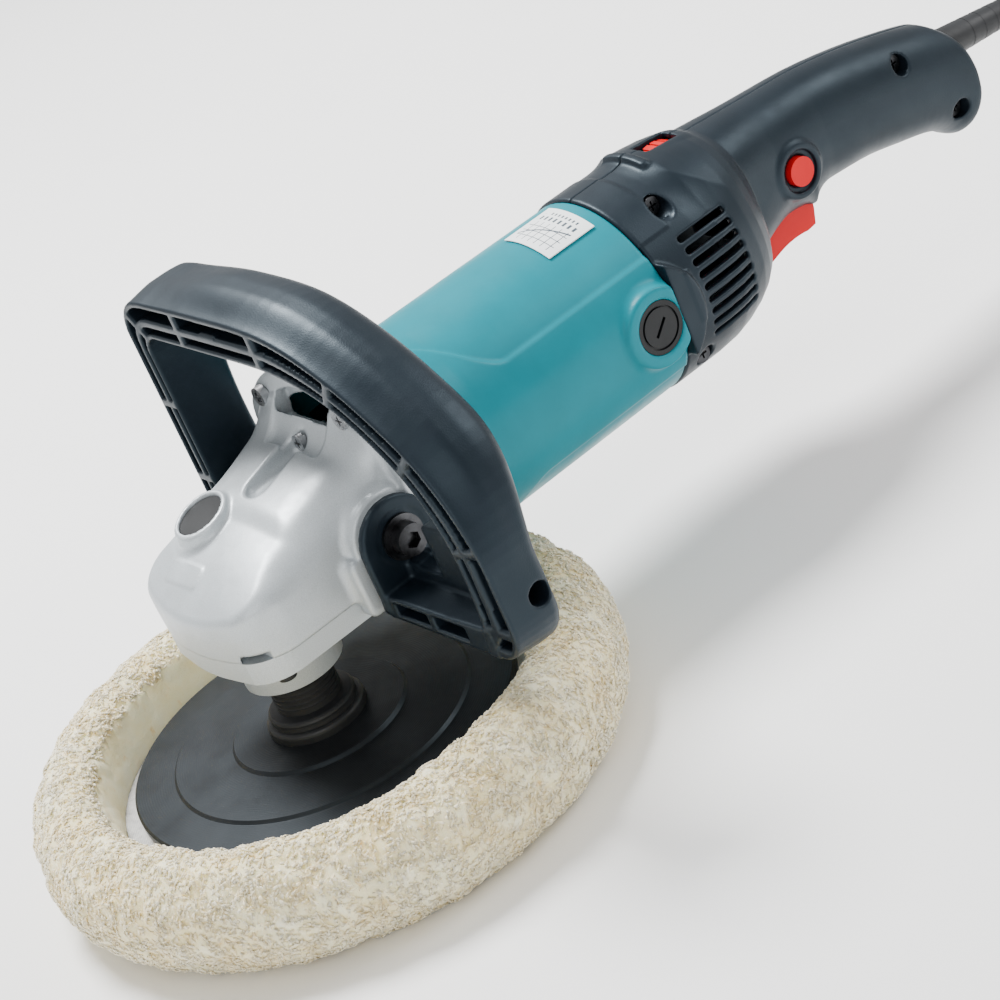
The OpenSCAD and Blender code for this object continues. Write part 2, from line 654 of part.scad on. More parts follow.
// One half of the casing, split on the tool's middle plane.
module casing_half(x0, x1) {
    difference() {
        union() {
            difference() {
                intersection() {
                    casing_block();
                    block([x0, 150, 0], [x1, 500, 250]);
                }
                casing_rooms();
            }
            for (p = case_screws) bar_x(p[0], p[1], 5.5, max(x0, -p[3]), min(x1, p[3]));
        }
        for (p = case_screws) {
            bar_x(p[0], p[1], 1.6, -p[2] + 2, 12);
            bar_x(p[0], p[1], 2.2, 0, 60);
            bar_x(p[0], p[1], 4.4, p[2], 60);
        }
        bar_x(grip_y, grip_z, 6.6, 0, 40);
    }
}
// Rooms and openings inside the casing.
module casing_rooms() {
    turned_y() polygon([
        [0, barrel_end - 1], [43, barrel_end - 1], [43, 228], [41.7, 239.5], [37.5, 253],
        [30, 260.5], [0, 260.5]
    ]);
    block([-13, 255, 101], [13, 326, 136]);
    block([-12.5, 325, 101], [12.5, 352, 131]);
    block([-11.5, 350, 99], [11.5, 373, 127]);
    block([-11.5, 372, 96], [11.5, 389, 119]);
    block([-9, 384, 98], [9, 401, 118]);
    // trigger opening
    block([-8.6, pivot_y - 3, 70], [8.6, 312, 104]);
    bar_x(pivot_y + 3, pivot_z - 0.5, 1.5, -10.5, 10.5);
    // speed dial slot
    bar_x(dial_y, dial_z, dial_r + 0.8, -5.5, 5.5);
    block([-7, dial_y - dial_r - 1, 118], [7, dial_y + dial_r + 1, 148]);
    // cooling slots, along the motor axis
    for (i = [0:8], m = [0, 1]) mirror([m, 0, 0]) translate([0, 0, axis_z]) rotate([0, 30 - 7.2 * i, 0])
        mirror([0, 0, 1]) block([30, 216, -1.4], [60, 242, 1.4]);
    // cord guard passage
    translate([0, guard_y, guard_z]) rotate([-90 - guard_drop, 0, 0]) cylinder(r = 8, h = 32, center = true);
    translate([0, guard_y, guard_z]) rotate([-90 - guard_drop, 0, 0])
        translate([0, 0, -17]) cylinder(r = 10.6, h = 5.2);
}
module handle_left() {
    color("#2b343c") casing_half(0, 100);
}
module handle_right() {
    color("#2b343c") casing_half(-100, 0);
}
module handle_screws() {
    color("dimgray") for (p = case_screws) translate([p[2], p[0], p[1]]) rotate([0, -90, 0])
        screw(2 * p[2] - 4, 1.6, 4, 2.6);
}
module switch_body() {
    color("#3b3d42") difference() {
        block([-10.5, 284, 104], [10.5, 334, 130]);
        block([5, grip_y - 5, grip_z - 5], [12, grip_y + 5, grip_z + 5]);
    }
}
module trigger() {
    color("crimson") difference() {
        union() {
            slab_x(-8.2, 8.2) polygon(concat(
                [[pivot_y + 2, pivot_z + 1], [278, 88.6], [277.7, 79.4], [278.6, 78.8]],
                arc([294, 40], 41.4, 106, 79, 8),
                [[306.8, 81.2], [308.8, 88], [309.6, 95], [307.6, 97], [286, 97.5]]
            ));
            bar_x(pivot_y + 3, pivot_z - 0.5, 4, -8.2, 8.2);
        }
        bar_x(pivot_y + 3, pivot_z - 0.5, 1.5 + gap, -9, 9);
    }
}
module trigger_pin() { color("silver") bar_x(pivot_y + 3, pivot_z - 0.5, 1.5, -10.5, 10.5); }
module lock_button() {
    color("crimson") {
        bar_x(grip_y, grip_z, 6.5, 13.8, grip_w + 3.5);
        bar_x(grip_y, grip_z, 3, 8.5, 14);
    }
}
module speed_dial() {
    color("crimson") difference() {
        bar_x(dial_y, dial_z, dial_r, -4.5, 4.5);
        bar_x(dial_y, dial_z, 3 + gap, -5, 5);
        for (a = [0:15:345]) translate([0, dial_y, dial_z]) rotate([a, 0, 0])
            block([-5, -0.6, dial_r - 0.7], [5, 0.6, 20]);
    }
}
module dial_base() {
    color("#3b3d42") {
        bar_x(dial_y, dial_z, 3, -5.6, 5.6);
        block([-6.6, dial_y - 12, 124], [-5, dial_y + 12, 147]);
    }
}
module speed_controller() { color("#274e3a") block([-11, 338, 108], [11, 364, 126]); }
module cord_clamp() {
    color("#3b3d42") difference() {
        block([-11, 376, 106], [11, 384, 111.5]);
        translate([0, guard_y, guard_z]) rotate([-90 - guard_drop, 0, 0])
            cylinder(r = cord_r, h = 90, center = true);
        for (s = [-1, 1]) bar_z(s * 7.8, 380, 1.5, 105, 112);
    }
}
module clamp_screws() {
    color("dimgray") for (s = [-1, 1]) translate([s * 7.8, 380, 106]) screw(4.5, 1.45, 2.8, 2);
}

// ---- cord ----
module cord_guard() {
    color("#1b1d20") translate([0, guard_y, guard_z]) rotate([-90 - guard_drop, 0, 0]) rotate_extrude()
        difference() {
            polygon([
                [cord_r, -16], [10.5, -16], [10.5, -12], [7.9, -12], [7.9, -2], [7.6, 0],
                [5.6, guard_len - 2], [cord_r + 0.8, guard_len], [cord_r, guard_len]
            ]);
            for (y = [12:8:52]) translate([8.2 - y * 0.034, y]) square([1.6, 2.4], center = true);
        }
}
guard_tip = [guard_y + guard_len * cos(guard_drop), guard_z - guard_len * sin(guard_drop)];
// Route of the lead between the guard and the coil.
lead = [
    [0, 374, 115.2], [0, guard_y, guard_z], [0, guard_tip[0], guard_tip[1]], [0, 490, 100], [0, 508, 94],
    [0, 524, 85], [0, 538, 73], [0, 550, 59], [0, 561, 44], [0, 573, 30], [0, 588, 17], [0, 606, 8],
    [0, 626, 4.5], [0, 645, 3.8], [0, 665, 3.8]
];
// Route of the tail between the coil and the plug.
tail = [[100, 665, 19.4], [100, 655, 19.4], [100, 645, 19], [100, 636, 18.4], [100, 629, 18]];
// Round tube swept along a list of points, n sides.
module sweep(path, r, n = 10) {
    last = len(path) - 1;
    rings = [for (i = [0:last])
        let (
            d = path[min(i + 1, last)] - path[max(i - 1, 0)],
            t = d / norm(d),
            u = [1, 0, 0] - t * t[0],
            a = norm(u) > 0.1 ? u / norm(u) : [0, 0, 1],
            b = cross(t, a)
        )
        for (k = [0:n - 1]) path[i] + r * (cos(360 * k / n) * a + sin(360 * k / n) * b)];
    sides = [for (i = [0:last - 1], k = [0:n - 1])
        [i * n + k, i * n + (k + 1) % n, (i + 1) * n + (k + 1) % n, (i + 1) * n + k]];
    polyhedron(
        points = rings,
        faces = concat(sides, [[for (k = [n - 1:-1:0]) k]], [[for (k = [0:n - 1]) last * n + k]]),
        convexity = 4
    );
}
module power_cord() { color("#1b1d20") sweep(lead, cord_r); }
module cord_tail() { color("#1b1d20") sweep(tail, cord_r); }
module cord_coil() {
    r_out = coil_r + cord_r;
    r_in = r_out - cord_d - cord_pitch * (coil_layers - 1);
    color("#1b1d20") translate([coil_pos[0], coil_pos[1], 0]) rotate_extrude($fn = 96)
        soft_square([r_in, 0], [r_out, cord_d + 2 * cord_pitch], cord_r);
}
module plug_body() {
    color("#1b1d20")
        translate([plug_pos[0], plug_pos[1], plug_r]) rotate([-90, 0, 0]) rotate_extrude() polygon([
        [0, 0], [plug_r - 1, 0], [plug_r, 1], [plug_r, 9], [12, 14], [9, 22], [7, 32], [5.5, 39], [0, 39]
    ]);
}
module plug_pins() {
    color("silver") for (s = [-1, 1])
        bar_y(plug_pos[0] + s * pin_gap / 2, plug_r, 2.4, plug_pos[1] - 19, plug_pos[1]);
}

wool_pad();
wool_backing();
hook_disc();
rubber_plate();
lock_nut();
drive_hub();
spindle();
bevel_gear();
spindle_bearing();
spindle_bush();
bearing_box();
box_screws();
gear_housing();
head_screws();
shaft_lock_button();
shaft_lock_pin();
shaft_lock_spring();
loop_handle();
loop_bolts();
loop_washers();
motor_housing();
chart_label();
fan();
fan_baffle();
pinion();
armature_shaft();
armature_core();
armature_winding();
commutator();
front_bearing();
rear_bearing();
bearing_cup();
stator_core();
field_coils();
brush_holders();
carbon_brushes();
brush_springs();
brush_caps();
handle_left();
handle_right();
handle_screws();
switch_body();
trigger();
trigger_pin();
lock_button();
speed_dial();
dial_base();
speed_controller();
cord_clamp();
clamp_screws();
cord_guard();
power_cord();
cord_coil();
cord_tail();
plug_body();
plug_pins();
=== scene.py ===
"""Rotary polisher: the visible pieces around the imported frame. Shapes are worked out in millimetres."""
import json
import math
import bpy
import numpy as np
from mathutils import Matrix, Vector, kdtree

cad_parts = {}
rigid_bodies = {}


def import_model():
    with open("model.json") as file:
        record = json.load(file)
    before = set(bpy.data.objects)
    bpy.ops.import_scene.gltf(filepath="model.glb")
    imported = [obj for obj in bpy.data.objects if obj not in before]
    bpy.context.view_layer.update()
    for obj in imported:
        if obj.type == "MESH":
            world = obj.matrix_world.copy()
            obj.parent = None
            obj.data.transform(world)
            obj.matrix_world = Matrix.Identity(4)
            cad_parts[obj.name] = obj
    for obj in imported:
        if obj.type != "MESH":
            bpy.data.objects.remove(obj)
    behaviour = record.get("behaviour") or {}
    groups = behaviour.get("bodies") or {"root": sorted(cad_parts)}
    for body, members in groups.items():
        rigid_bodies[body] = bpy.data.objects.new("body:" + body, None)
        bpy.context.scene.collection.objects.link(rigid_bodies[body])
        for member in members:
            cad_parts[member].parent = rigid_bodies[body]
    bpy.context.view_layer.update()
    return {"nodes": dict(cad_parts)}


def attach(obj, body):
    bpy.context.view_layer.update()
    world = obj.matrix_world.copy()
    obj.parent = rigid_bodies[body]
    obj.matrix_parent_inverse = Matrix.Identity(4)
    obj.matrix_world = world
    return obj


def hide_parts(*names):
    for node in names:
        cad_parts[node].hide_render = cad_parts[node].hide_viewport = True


for leftover in list(bpy.data.objects):
    bpy.data.objects.remove(leftover)
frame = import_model()
NODES = frame["nodes"]
MM = 0.001  # shapes are in millimetres, Blender in metres
AXIS_Z = 108.5  # height of the motor axis
BOLT = (41, 107.2)  # loop handle's bolts: y and z
LOCK = (-16, -1.2)  # shaft lock button: x and y
BUTTON = (298.3, 114)  # lock button of the switch: y and z
DIAL = (248.8, 137.1)  # speed dial's axis: y and z
SCREW_ANGLES = (55, 125, 235, 305)  # flange screws round the motor axis, in degrees


# ---------- signed distances, arrays in millimetres ----------
def rmax(a, b, r):
    """Intersection with a round edge of radius r."""
    return np.minimum(-r, np.maximum(a, b)) + np.hypot(np.maximum(r + a, 0), np.maximum(r + b, 0))


def rmin(a, b, r):
    """Union with a round fillet of radius r."""
    return np.maximum(r, np.minimum(a, b)) - np.hypot(np.maximum(r - a, 0), np.maximum(r - b, 0))


def smax(a, b, k):
    """Intersection of surfaces that meet at a shallow angle, blended over a width k."""
    h = np.maximum(k - np.abs(a - b), 0) / k
    return np.maximum(a, b) + h * h * k / 4


def slab(v, lo, hi):
    return np.abs(v - (lo + hi) / 2) - (hi - lo) / 2


def rect(u, v, lo, hi, r=0.0):
    """Rectangle in a plane with corners of radius r."""
    a = np.abs(u - (lo[0] + hi[0]) / 2) - (hi[0] - lo[0]) / 2 + r
    b = np.abs(v - (lo[1] + hi[1]) / 2) - (hi[1] - lo[1]) / 2 + r
    return np.hypot(np.maximum(a, 0), np.maximum(b, 0)) + np.minimum(np.maximum(a, b), 0) - r


def block(x, y, z, lo, hi, r):
    return rmax(rect(x, y, lo, hi, r), slab(z, lo[2], hi[2]), r)


def outline(u, v, pts):
    """Signed distance to a closed outline, negative inside."""
    pts = np.asarray(pts, float)
    d = np.full(np.broadcast(u, v).shape, 1e9)
    inside = np.zeros(d.shape, bool)
    for (ax, ay), (bx, by) in zip(pts, np.roll(pts, -1, 0)):
        ex, ey = bx - ax, by - ay
        t = np.clip(((u - ax) * ex + (v - ay) * ey) / (ex * ex + ey * ey + 1e-12), 0, 1)
        d = np.minimum(d, np.hypot(u - ax - t * ex, v - ay - t * ey))
        if ey != 0:
            inside ^= ((v < ay) != (v < by)) & (u < ax + (v - ay) * ex / ey)
    return np.where(inside, -d, d)


def spline(pts, n=6, closed=False):
    """Smooth line through the points."""
    p = [np.array(q, float) for q in pts]
    p = [p[-1]] + p + [p[0], p[1]] if closed else [2 * p[0] - p[1]] + p + [2 * p[-1] - p[-2]]
    out = []
    for a, b, c, d in zip(p, p[1:], p[2:], p[3:]):
        for i in range(n):
            t = i / n
            out.append(0.5 * (2 * b + (c - a) * t + (2 * a - 5 * b + 4 * c - d) * t * t
                              + (3 * b - a - 3 * c + d) * t ** 3))
    return out if closed else out + [p[-2]]


def arc(cx, cy, r, a0, a1, n=8):
    return [(cx + r * math.cos(math.radians(a0 + (a1 - a0) * i / n)),
             cy + r * math.sin(math.radians(a0 + (a1 - a0) * i / n))) for i in range(n + 1)]


def step(v, lo, hi):
    t = np.clip((v - lo) / (hi - lo), 0, 1)
    return t * t * (3 - 2 * t)


# ---------- meshing ----------
def surface(field, lo, hi, size):
    """Closed quad mesh of field = 0 inside the box, every vertex pulled onto the surface."""
    axes = [np.arange(a, b + size, size) for a, b in zip(lo, hi)]
    x, y, z = axes[0][:, None, None], axes[1][None, :, None], axes[2][None, None, :]
    shape = tuple(len(a) for a in axes)
    d = np.broadcast_to(field(x, y, z), shape).astype(np.float32)
    inside = d < 0
    cells = np.zeros([n - 1 for n in shape], np.int8)
    corners = [(i, j, k) for i in (0, 1) for j in (0, 1) for k in (0, 1)]
    for i, j, k in corners:
        cells += inside[i:shape[0] - 1 + i, j:shape[1] - 1 + j, k:shape[2] - 1 + k]
    at = np.argwhere((cells > 0) & (cells < 8))
    index = np.full(cells.shape, -1, np.int32)
    index[tuple(at.T)] = np.arange(len(at))
    value = {c: d[tuple((at + c).T)] for c in corners}
    total, count = np.zeros((len(at), 3)), np.zeros(len(at))
    for a in corners:
        for axis in range(3):
            if a[axis]:
                continue
            b = tuple(1 if m == axis else a[m] for m in range(3))
            cross = (value[a] < 0) != (value[b] < 0)
            t = np.where(cross, value[a] / np.where(cross, value[a] - value[b], 1), 0)
            p = np.repeat(np.array([a], float), len(at), 0)
            p[:, axis] = t
            total += p * cross[:, None]
            count += cross
    v = np.array(lo) + (at + total / count[:, None]) * size
    e = 0.08
    for _ in range(2):
        f = field(*v.T)
        g = np.stack([field(*(v + e * np.eye(3)[m]).T) - field(*(v - e * np.eye(3)[m]).T)
                      for m in range(3)], 1) / (2 * e)
        move = -(f / np.maximum((g * g).sum(1), 0.2))[:, None] * g
        far = np.linalg.norm(move, axis=1, keepdims=True)
        v = v + move * np.minimum(1, 0.35 * size / np.maximum(far, 1e-9))
    quads = []
    for axis in range(3):
        o = [m for m in range(3) if m != axis]
        a = inside.take(range(0, shape[axis] - 1), axis)
        b = inside.take(range(1, shape[axis]), axis)
        for e0, flip in ((a & ~b, False), (~a & b, True)):
            q = np.argwhere(e0)
            q = q[(q[:, o[0]] > 0) & (q[:, o[1]] > 0) & (q[:, o[0]] < shape[o[0]] - 1)
                  & (q[:, o[1]] < shape[o[1]] - 1)]
            ring = []
            for s in ((0, 0), (1, 0), (1, 1), (0, 1)):
                c = q.copy()
                c[:, o[0]] -= 1 - s[0]
                c[:, o[1]] -= 1 - s[1]
                ring.append(index[tuple(c.T)])
            ring = np.stack(ring, 1)
            quads.append(ring[:, ::-1] if flip != (axis == 1) else ring)
    return v, np.concatenate(quads)


def mesh_object(name, verts, faces, mat):
    me = bpy.data.meshes.new(name)
    me.from_pydata((np.asarray(verts) * MM).tolist(), [], [tuple(int(i) for i in f) for f in faces])
    me.validate()
    me.polygons.foreach_set("use_smooth", [True] * len(me.polygons))
    me.materials.append(mat)
    ob = bpy.data.objects.new(name, me)
    bpy.context.scene.collection.objects.link(ob)
    return ob


def field_object(name, field, lo, hi, size, mat):
    v, f = surface(field, lo, hi, size)
    return mesh_object(name, v, f, mat)


def curve_object(name, pts, radius, mat, closed=False, res=3, handles="AUTO"):
    cu = bpy.data.curves.new(name, "CURVE")
    cu.dimensions, cu.bevel_depth, cu.bevel_resolution = "3D", radius * MM, 3
    cu.use_fill_caps, cu.resolution_u = True, res
    sp = cu.splines.new("BEZIER")
    sp.bezier_points.add(len(pts) - 1)
    for b, p in zip(sp.bezier_points, pts):
        b.co = Vector(p) * MM
        b.handle_left_type = b.handle_right_type = handles
    sp.use_cyclic_u = closed
    cu.materials.append(mat)
    ob = bpy.data.objects.new(name, cu)
    bpy.context.scene.collection.objects.link(ob)
    return ob


# ---------- materials ----------
class Look:
    """A procedural material: a Principled shader with noise in its colour, roughness and bump."""

    def __init__(self, name, colour, rough, metal=0.0, **extra):
        self.mat = bpy.data.materials.new(name)
        self.mat.use_nodes = True
        self.tree = self.mat.node_tree
        self.shader = self.tree.nodes["Principled BSDF"]
        self.shader.inputs["Base Color"].default_value = (*colour, 1)
        self.shader.inputs["Roughness"].default_value = rough
        self.shader.inputs["Metallic"].default_value = metal
        for key, value in extra.items():
            self.shader.inputs[key.replace("_", " ")].default_value = value
        self.place = self.tree.nodes.new("ShaderNodeTexCoord")
        self.height = None

    def node(self, kind, **settings):
        n = self.tree.nodes.new(kind)
        for key, value in settings.items():
            setattr(n, key, value)
        return n

    def link(self, a, b):
        self.tree.links.new(a, b)

    def noise(self, scale, detail=4.0, rough=0.6, stretch=None):
        n = self.node("ShaderNodeTexNoise")
        n.inputs["Scale"].default_value = scale
        n.inputs["Detail"].default_value = detail
        n.inputs["Roughness"].default_value = rough
        source = self.place.outputs["Object"]
        if stretch:
            m = self.node("ShaderNodeMapping")
            m.inputs["Scale"].default_value = stretch
            self.link(source, m.inputs["Vector"])
            source = m.outputs["Vector"]
        self.link(source, n.inputs["Vector"])
        return n.outputs["Fac"]

    def ramp(self, source, stops):
        r = self.node("ShaderNodeValToRGB")
        el = r.color_ramp.elements
        while len(el) < len(stops):
            el.new(0.5)
        for e, (pos, col) in zip(el, stops):
            e.position, e.color = pos, (*col, 1)
        self.link(source, r.inputs["Fac"])
        return r.outputs["Color"]

    def colour(self, source, stops):
        self.link(self.ramp(source, stops), self.shader.inputs["Base Color"])

    def roughness(self, source, lo, hi):
        m = self.node("ShaderNodeMapRange")
        m.inputs["To Min"].default_value, m.inputs["To Max"].default_value = lo, hi
        m.inputs["From Min"].default_value, m.inputs["From Max"].default_value = 0.3, 0.7
        self.link(source, m.inputs["Value"])
        self.link(m.outputs["Result"], self.shader.inputs["Roughness"])

    def bump(self, source, distance, strength=1.0):
        b = self.node("ShaderNodeBump")
        b.inputs["Distance"].default_value = distance * MM
        b.inputs["Strength"].default_value = strength
        self.link(source, b.inputs["Height"])
        if self.height:
            self.link(self.height, b.inputs["Normal"])
        self.height = b.outputs["Normal"]
        self.link(self.height, self.shader.inputs["Normal"])


def plastic(name, dark, light, rough, grain, depth, **extra):
    """Moulded plastic: slight colour drift, fine grain and a little handling gloss."""
    k = Look(name, light, rough, **extra)
    k.colour(k.noise(35, 5), [(0.3, dark), (0.7, light)])
    k.roughness(k.noise(60, 6), rough - 0.06, rough + 0.08)
    k.bump(k.noise(grain, 2), depth)
    return k.mat


def metal(name, dark, light, rough, grain, depth, stretch=None, value=1.0):
    k = Look(name, light, rough, value)
    k.colour(k.noise(120, 5, stretch=stretch), [(0.3, dark), (0.7, light)])
    k.roughness(k.noise(300, 4, stretch=stretch), rough - 0.08, rough + 0.1)
    k.bump(k.noise(grain, 3, stretch=stretch), depth)
    return k.mat


def rubber():
    k = Look("rubber", (0.011, 0.012, 0.013), 0.5, Specular_IOR_Level=0.4)
    k.colour(k.noise(50, 6), [(0.3, (0.007, 0.008, 0.009)), (0.7, (0.015, 0.016, 0.018))])
    k.roughness(k.noise(80, 5), 0.42, 0.62)
    k.bump(k.noise(1800, 2), 0.03)
    return k.mat


def plate_rubber():
    """Backing plate: dark rubber with faint turned rings."""
    k = Look("plate_rubber", (0.010, 0.011, 0.012), 0.36, Specular_IOR_Level=0.2,
             Specular_Tint=(0.7, 0.88, 1.0, 1.0))
    k.colour(k.noise(40, 6), [(0.3, (0.007, 0.0075, 0.0085)), (0.7, (0.014, 0.015, 0.017))])
    k.roughness(k.noise(70, 5), 0.34, 0.50)
    rings = k.node("ShaderNodeTexWave", wave_type="RINGS", rings_direction="Z")
    rings.inputs["Scale"].default_value = 300
    rings.inputs["Distortion"].default_value = 0.4
    k.link(k.place.outputs["Object"], rings.inputs["Vector"])
    k.bump(rings.outputs["Fac"], 0.02)
    k.bump(k.noise(1500, 2), 0.03)
    return k.mat


def cast_paint():
    """Die casting in silver paint: fine metal flake and a faint orange peel."""
    k = Look("casting", (0.53, 0.565, 0.585), 0.4, 0.35, Coat_Weight=0.25, Coat_Roughness=0.35)
    k.colour(k.noise(2600, 2), [(0.30, (0.39, 0.425, 0.445)), (0.70, (0.52, 0.562, 0.585))])
    k.roughness(k.noise(90, 6), 0.34, 0.50)
    k.bump(k.noise(420, 4), 0.035)
    k.bump(k.noise(2200, 2), 0.018)
    return k.mat


def wool_look():
    """Cream sheepskin with tan flecks deeper in the pile."""
    k = Look("wool", (0.95, 0.92, 0.84), 0.95, Sheen_Weight=0.3, Sheen_Roughness=0.6,
             Sheen_Tint=(1.0, 0.84, 0.56, 1.0),
             Subsurface_Weight=0.6, Subsurface_Scale=0.009, Subsurface_Radius=(1.0, 0.9, 0.7),
             Specular_IOR_Level=0.1)
    # sockets 6 and 7 are the two colours that socket 0 mixes
    mix = k.node("ShaderNodeMix", data_type="RGBA")
    k.link(k.ramp(k.noise(170, 4, 0.65), [(0.60, (0, 0, 0)), (0.74, (1, 1, 1))]), mix.inputs[0])
    k.link(k.ramp(k.noise(55, 5), [(0.3, (1.0, 0.83, 0.45)), (0.7, (1.0, 0.93, 0.66))]), mix.inputs[6])
    k.link(k.ramp(k.noise(420, 3), [(0.3, (0.88, 0.62, 0.25)), (0.7, (0.98, 0.78, 0.40))]), mix.inputs[7])
    k.link(mix.outputs[2], k.shader.inputs["Base Color"])
    k.bump(k.noise(900, 5, 0.75), 0.35)
    return k.mat


def hook_look():
    """Hook tape: khaki weave with tiny upright hooks."""
    k = Look("hook_tape", (0.30, 0.27, 0.17), 0.8, Sheen_Weight=0.3)
    dots = k.node("ShaderNodeTexVoronoi")
    dots.inputs["Scale"].default_value = 700
    k.link(k.place.outputs["Object"], dots.inputs["Vector"])
    k.colour(dots.outputs["Distance"], [(0.1, (0.50, 0.45, 0.26)), (0.6, (0.16, 0.15, 0.12))])
    k.bump(dots.outputs["Distance"], 0.4)
    return k.mat


def cloth_look():
    """Light grey woven backing of the pad."""
    k = Look("cloth", (0.5, 0.5, 0.49), 0.9, Sheen_Weight=0.2)
    k.colour(k.noise(260, 4), [(0.3, (0.36, 0.36, 0.35)), (0.7, (0.56, 0.56, 0.55))])
    weave = k.node("ShaderNodeTexWave", bands_direction="DIAGONAL")
    weave.inputs["Scale"].default_value = 420
    k.link(k.place.outputs["Object"], weave.inputs["Vector"])
    k.bump(weave.outputs["Fac"], 0.15)
    return k.mat


def wound_look(name, colour):
    """Wound enamelled wire, or stacked sheets: fine lines and slight colour drift."""
    k = Look(name, colour, 0.35, 1.0)
    wave = k.node("ShaderNodeTexWave", bands_direction="Y")
    wave.inputs["Scale"].default_value = 400
    wave.inputs["Distortion"].default_value = 0.6
    k.link(k.place.outputs["Object"], wave.inputs["Vector"])
    k.colour(k.noise(90, 4), [(0.3, tuple(c * 0.7 for c in colour)), (0.7, colour)])
    k.bump(wave.outputs["Fac"], 0.15)
    return k.mat


def chart_look():
    """White film with a small generic chart: grid lines, rising curves and tick bars, no lettering."""
    k = Look("chart_film", (0.85, 0.87, 0.88), 0.3)
    sep = k.node("ShaderNodeSeparateXYZ")
    k.link(k.place.outputs["Object"], sep.inputs["Vector"])

    def calc(op, a, b=None, c=None):
        m = k.node("ShaderNodeMath", operation=op)
        for i, s in enumerate((a, b, c)):
            if s is None:
                continue
            if isinstance(s, (int, float)):
                m.inputs[i].default_value = s
            else:
                k.link(s, m.inputs[i])
        return m.outputs[0]

    u = calc("MULTIPLY", calc("SUBTRACT", sep.outputs["Y"], 0.1675), 1000)
    v = calc("MULTIPLY", calc("ADD", sep.outputs["X"], 0.006), 1000)

    def line(s, period, width):
        cell = calc("FRACT", calc("DIVIDE", s, period))
        return calc("LESS_THAN", calc("ABSOLUTE", calc("SUBTRACT", cell, 0.5)), width / period / 2)

    def inside(s, lo, hi):
        return calc("MULTIPLY", calc("GREATER_THAN", s, lo), calc("LESS_THAN", s, hi))

    chart = calc("MULTIPLY", inside(u, 2.5, 15.5), inside(v, 2.5, 25))
    grid = calc("MULTIPLY", chart, calc("MAXIMUM", line(u, 3.6, 0.36), line(v, 3.6, 0.36)))
    bend = calc("MULTIPLY", calc("POWER", calc("DIVIDE", calc("MAXIMUM", v, 0.01), 25.0), 0.6), 12.0)
    rise = calc("ABSOLUTE", calc("SUBTRACT", calc("SUBTRACT", u, 3.0), bend))
    curve = calc("MULTIPLY", chart, calc("LESS_THAN", rise, 0.42))
    ticks = calc("MULTIPLY", calc("MULTIPLY", inside(u, 17.0, 19.6), inside(v, 2.5, 25)), line(v, 2.8, 1.2))
    short = calc("MULTIPLY", calc("MULTIPLY", inside(u, 21.0, 22.6), inside(v, 6, 23)), line(v, 2.1, 0.9))
    ink = calc("MAXIMUM", calc("MAXIMUM", grid, curve), calc("MAXIMUM", ticks, short))
    k.colour(ink, [(0.0, (0.82, 0.85, 0.86)), (1.0, (0.05, 0.07, 0.09))])
    k.roughness(k.noise(80, 4), 0.25, 0.4)
    return k.mat


LOOK = {
    "wool": wool_look(),
    "cloth": cloth_look(),
    "hook_tape": hook_look(),
    "rubber": rubber(),
    "plate": plate_rubber(),
    "casting": cast_paint(),
    "teal_plastic": plastic("teal_plastic", (0.0, 0.165, 0.205), (0.0, 0.19, 0.236), 0.36, 500, 0.02,
                            Specular_IOR_Level=0.16),
    "dark_plastic": plastic("dark_plastic", (0.0028, 0.0052, 0.0085), (0.005, 0.0085, 0.013), 0.42,
                            1500, 0.05,
                            Specular_IOR_Level=0.34, Specular_Tint=(0.66, 0.86, 1.0, 1.0)),
    "black_plastic": plastic("black_plastic", (0.003, 0.004, 0.005), (0.006, 0.007, 0.008), 0.38, 1300, 0.03,
                             Specular_IOR_Level=0.25),
    "red_plastic": plastic("red_plastic", (0.50, 0.001, 0.003), (0.60, 0.002, 0.005), 0.34, 700, 0.02,
                           Specular_IOR_Level=0.18),
    "potting": plastic("potting", (0.03, 0.11, 0.06), (0.05, 0.16, 0.09), 0.4, 200, 0.1),
    "carbon": plastic("carbon", (0.03, 0.03, 0.034), (0.06, 0.06, 0.065), 0.6, 1200, 0.05),
    "steel": metal("steel", (0.50, 0.51, 0.52), (0.66, 0.67, 0.68), 0.28, 900, 0.015, (1, 1, 12)),
    "gear_steel": metal("gear_steel", (0.30, 0.30, 0.31), (0.42, 0.42, 0.43), 0.35, 700, 0.02),
    # near-black steel: painted shade for screws and bolts set deep in their holes, darker than the bright
    # steel of the exposed head screws
    "screw_steel": metal("screw_steel", (0.030, 0.031, 0.034), (0.075, 0.076, 0.080), 0.34, 1100, 0.02),
    "bright_screw": metal("bright_screw", (0.34, 0.34, 0.35), (0.56, 0.57, 0.58), 0.3, 1100, 0.02),
    "bronze": metal("bronze", (0.42, 0.30, 0.13), (0.55, 0.41, 0.20), 0.4, 1500, 0.05),
    "brass": metal("brass", (0.62, 0.45, 0.18), (0.78, 0.60, 0.28), 0.25, 600, 0.01),
    "copper": wound_look("copper", (0.60, 0.26, 0.10)),
    "laminations": wound_look("laminations", (0.22, 0.22, 0.24)),
    "label": chart_look(),
}


# ---------- camera, floor and light ----------
def camera():
    cam = bpy.data.cameras.new("camera")
    cam.sensor_width, cam.lens, cam.clip_start, cam.clip_end = 36, 107.92, 0.05, 20
    ob = bpy.data.objects.new("camera", cam)
    ob.location = (0.97346, -0.39857, 0.62973)
    ob.rotation_euler = (1.05761, 0.36590, 0.88686)
    bpy.context.scene.collection.objects.link(ob)
    bpy.context.scene.camera = ob


def light(name, where, target, size, power, colour=(1, 1, 1)):
    la = bpy.data.lights.new(name, "AREA")
    la.shape, la.size, la.energy, la.color = "DISK", size, power, colour
    ob = bpy.data.objects.new(name, la)
    ob.location = where
    ob.rotation_euler = (Vector(target) - Vector(where)).to_track_quat("-Z", "Y").to_euler()
    bpy.context.scene.collection.objects.link(ob)


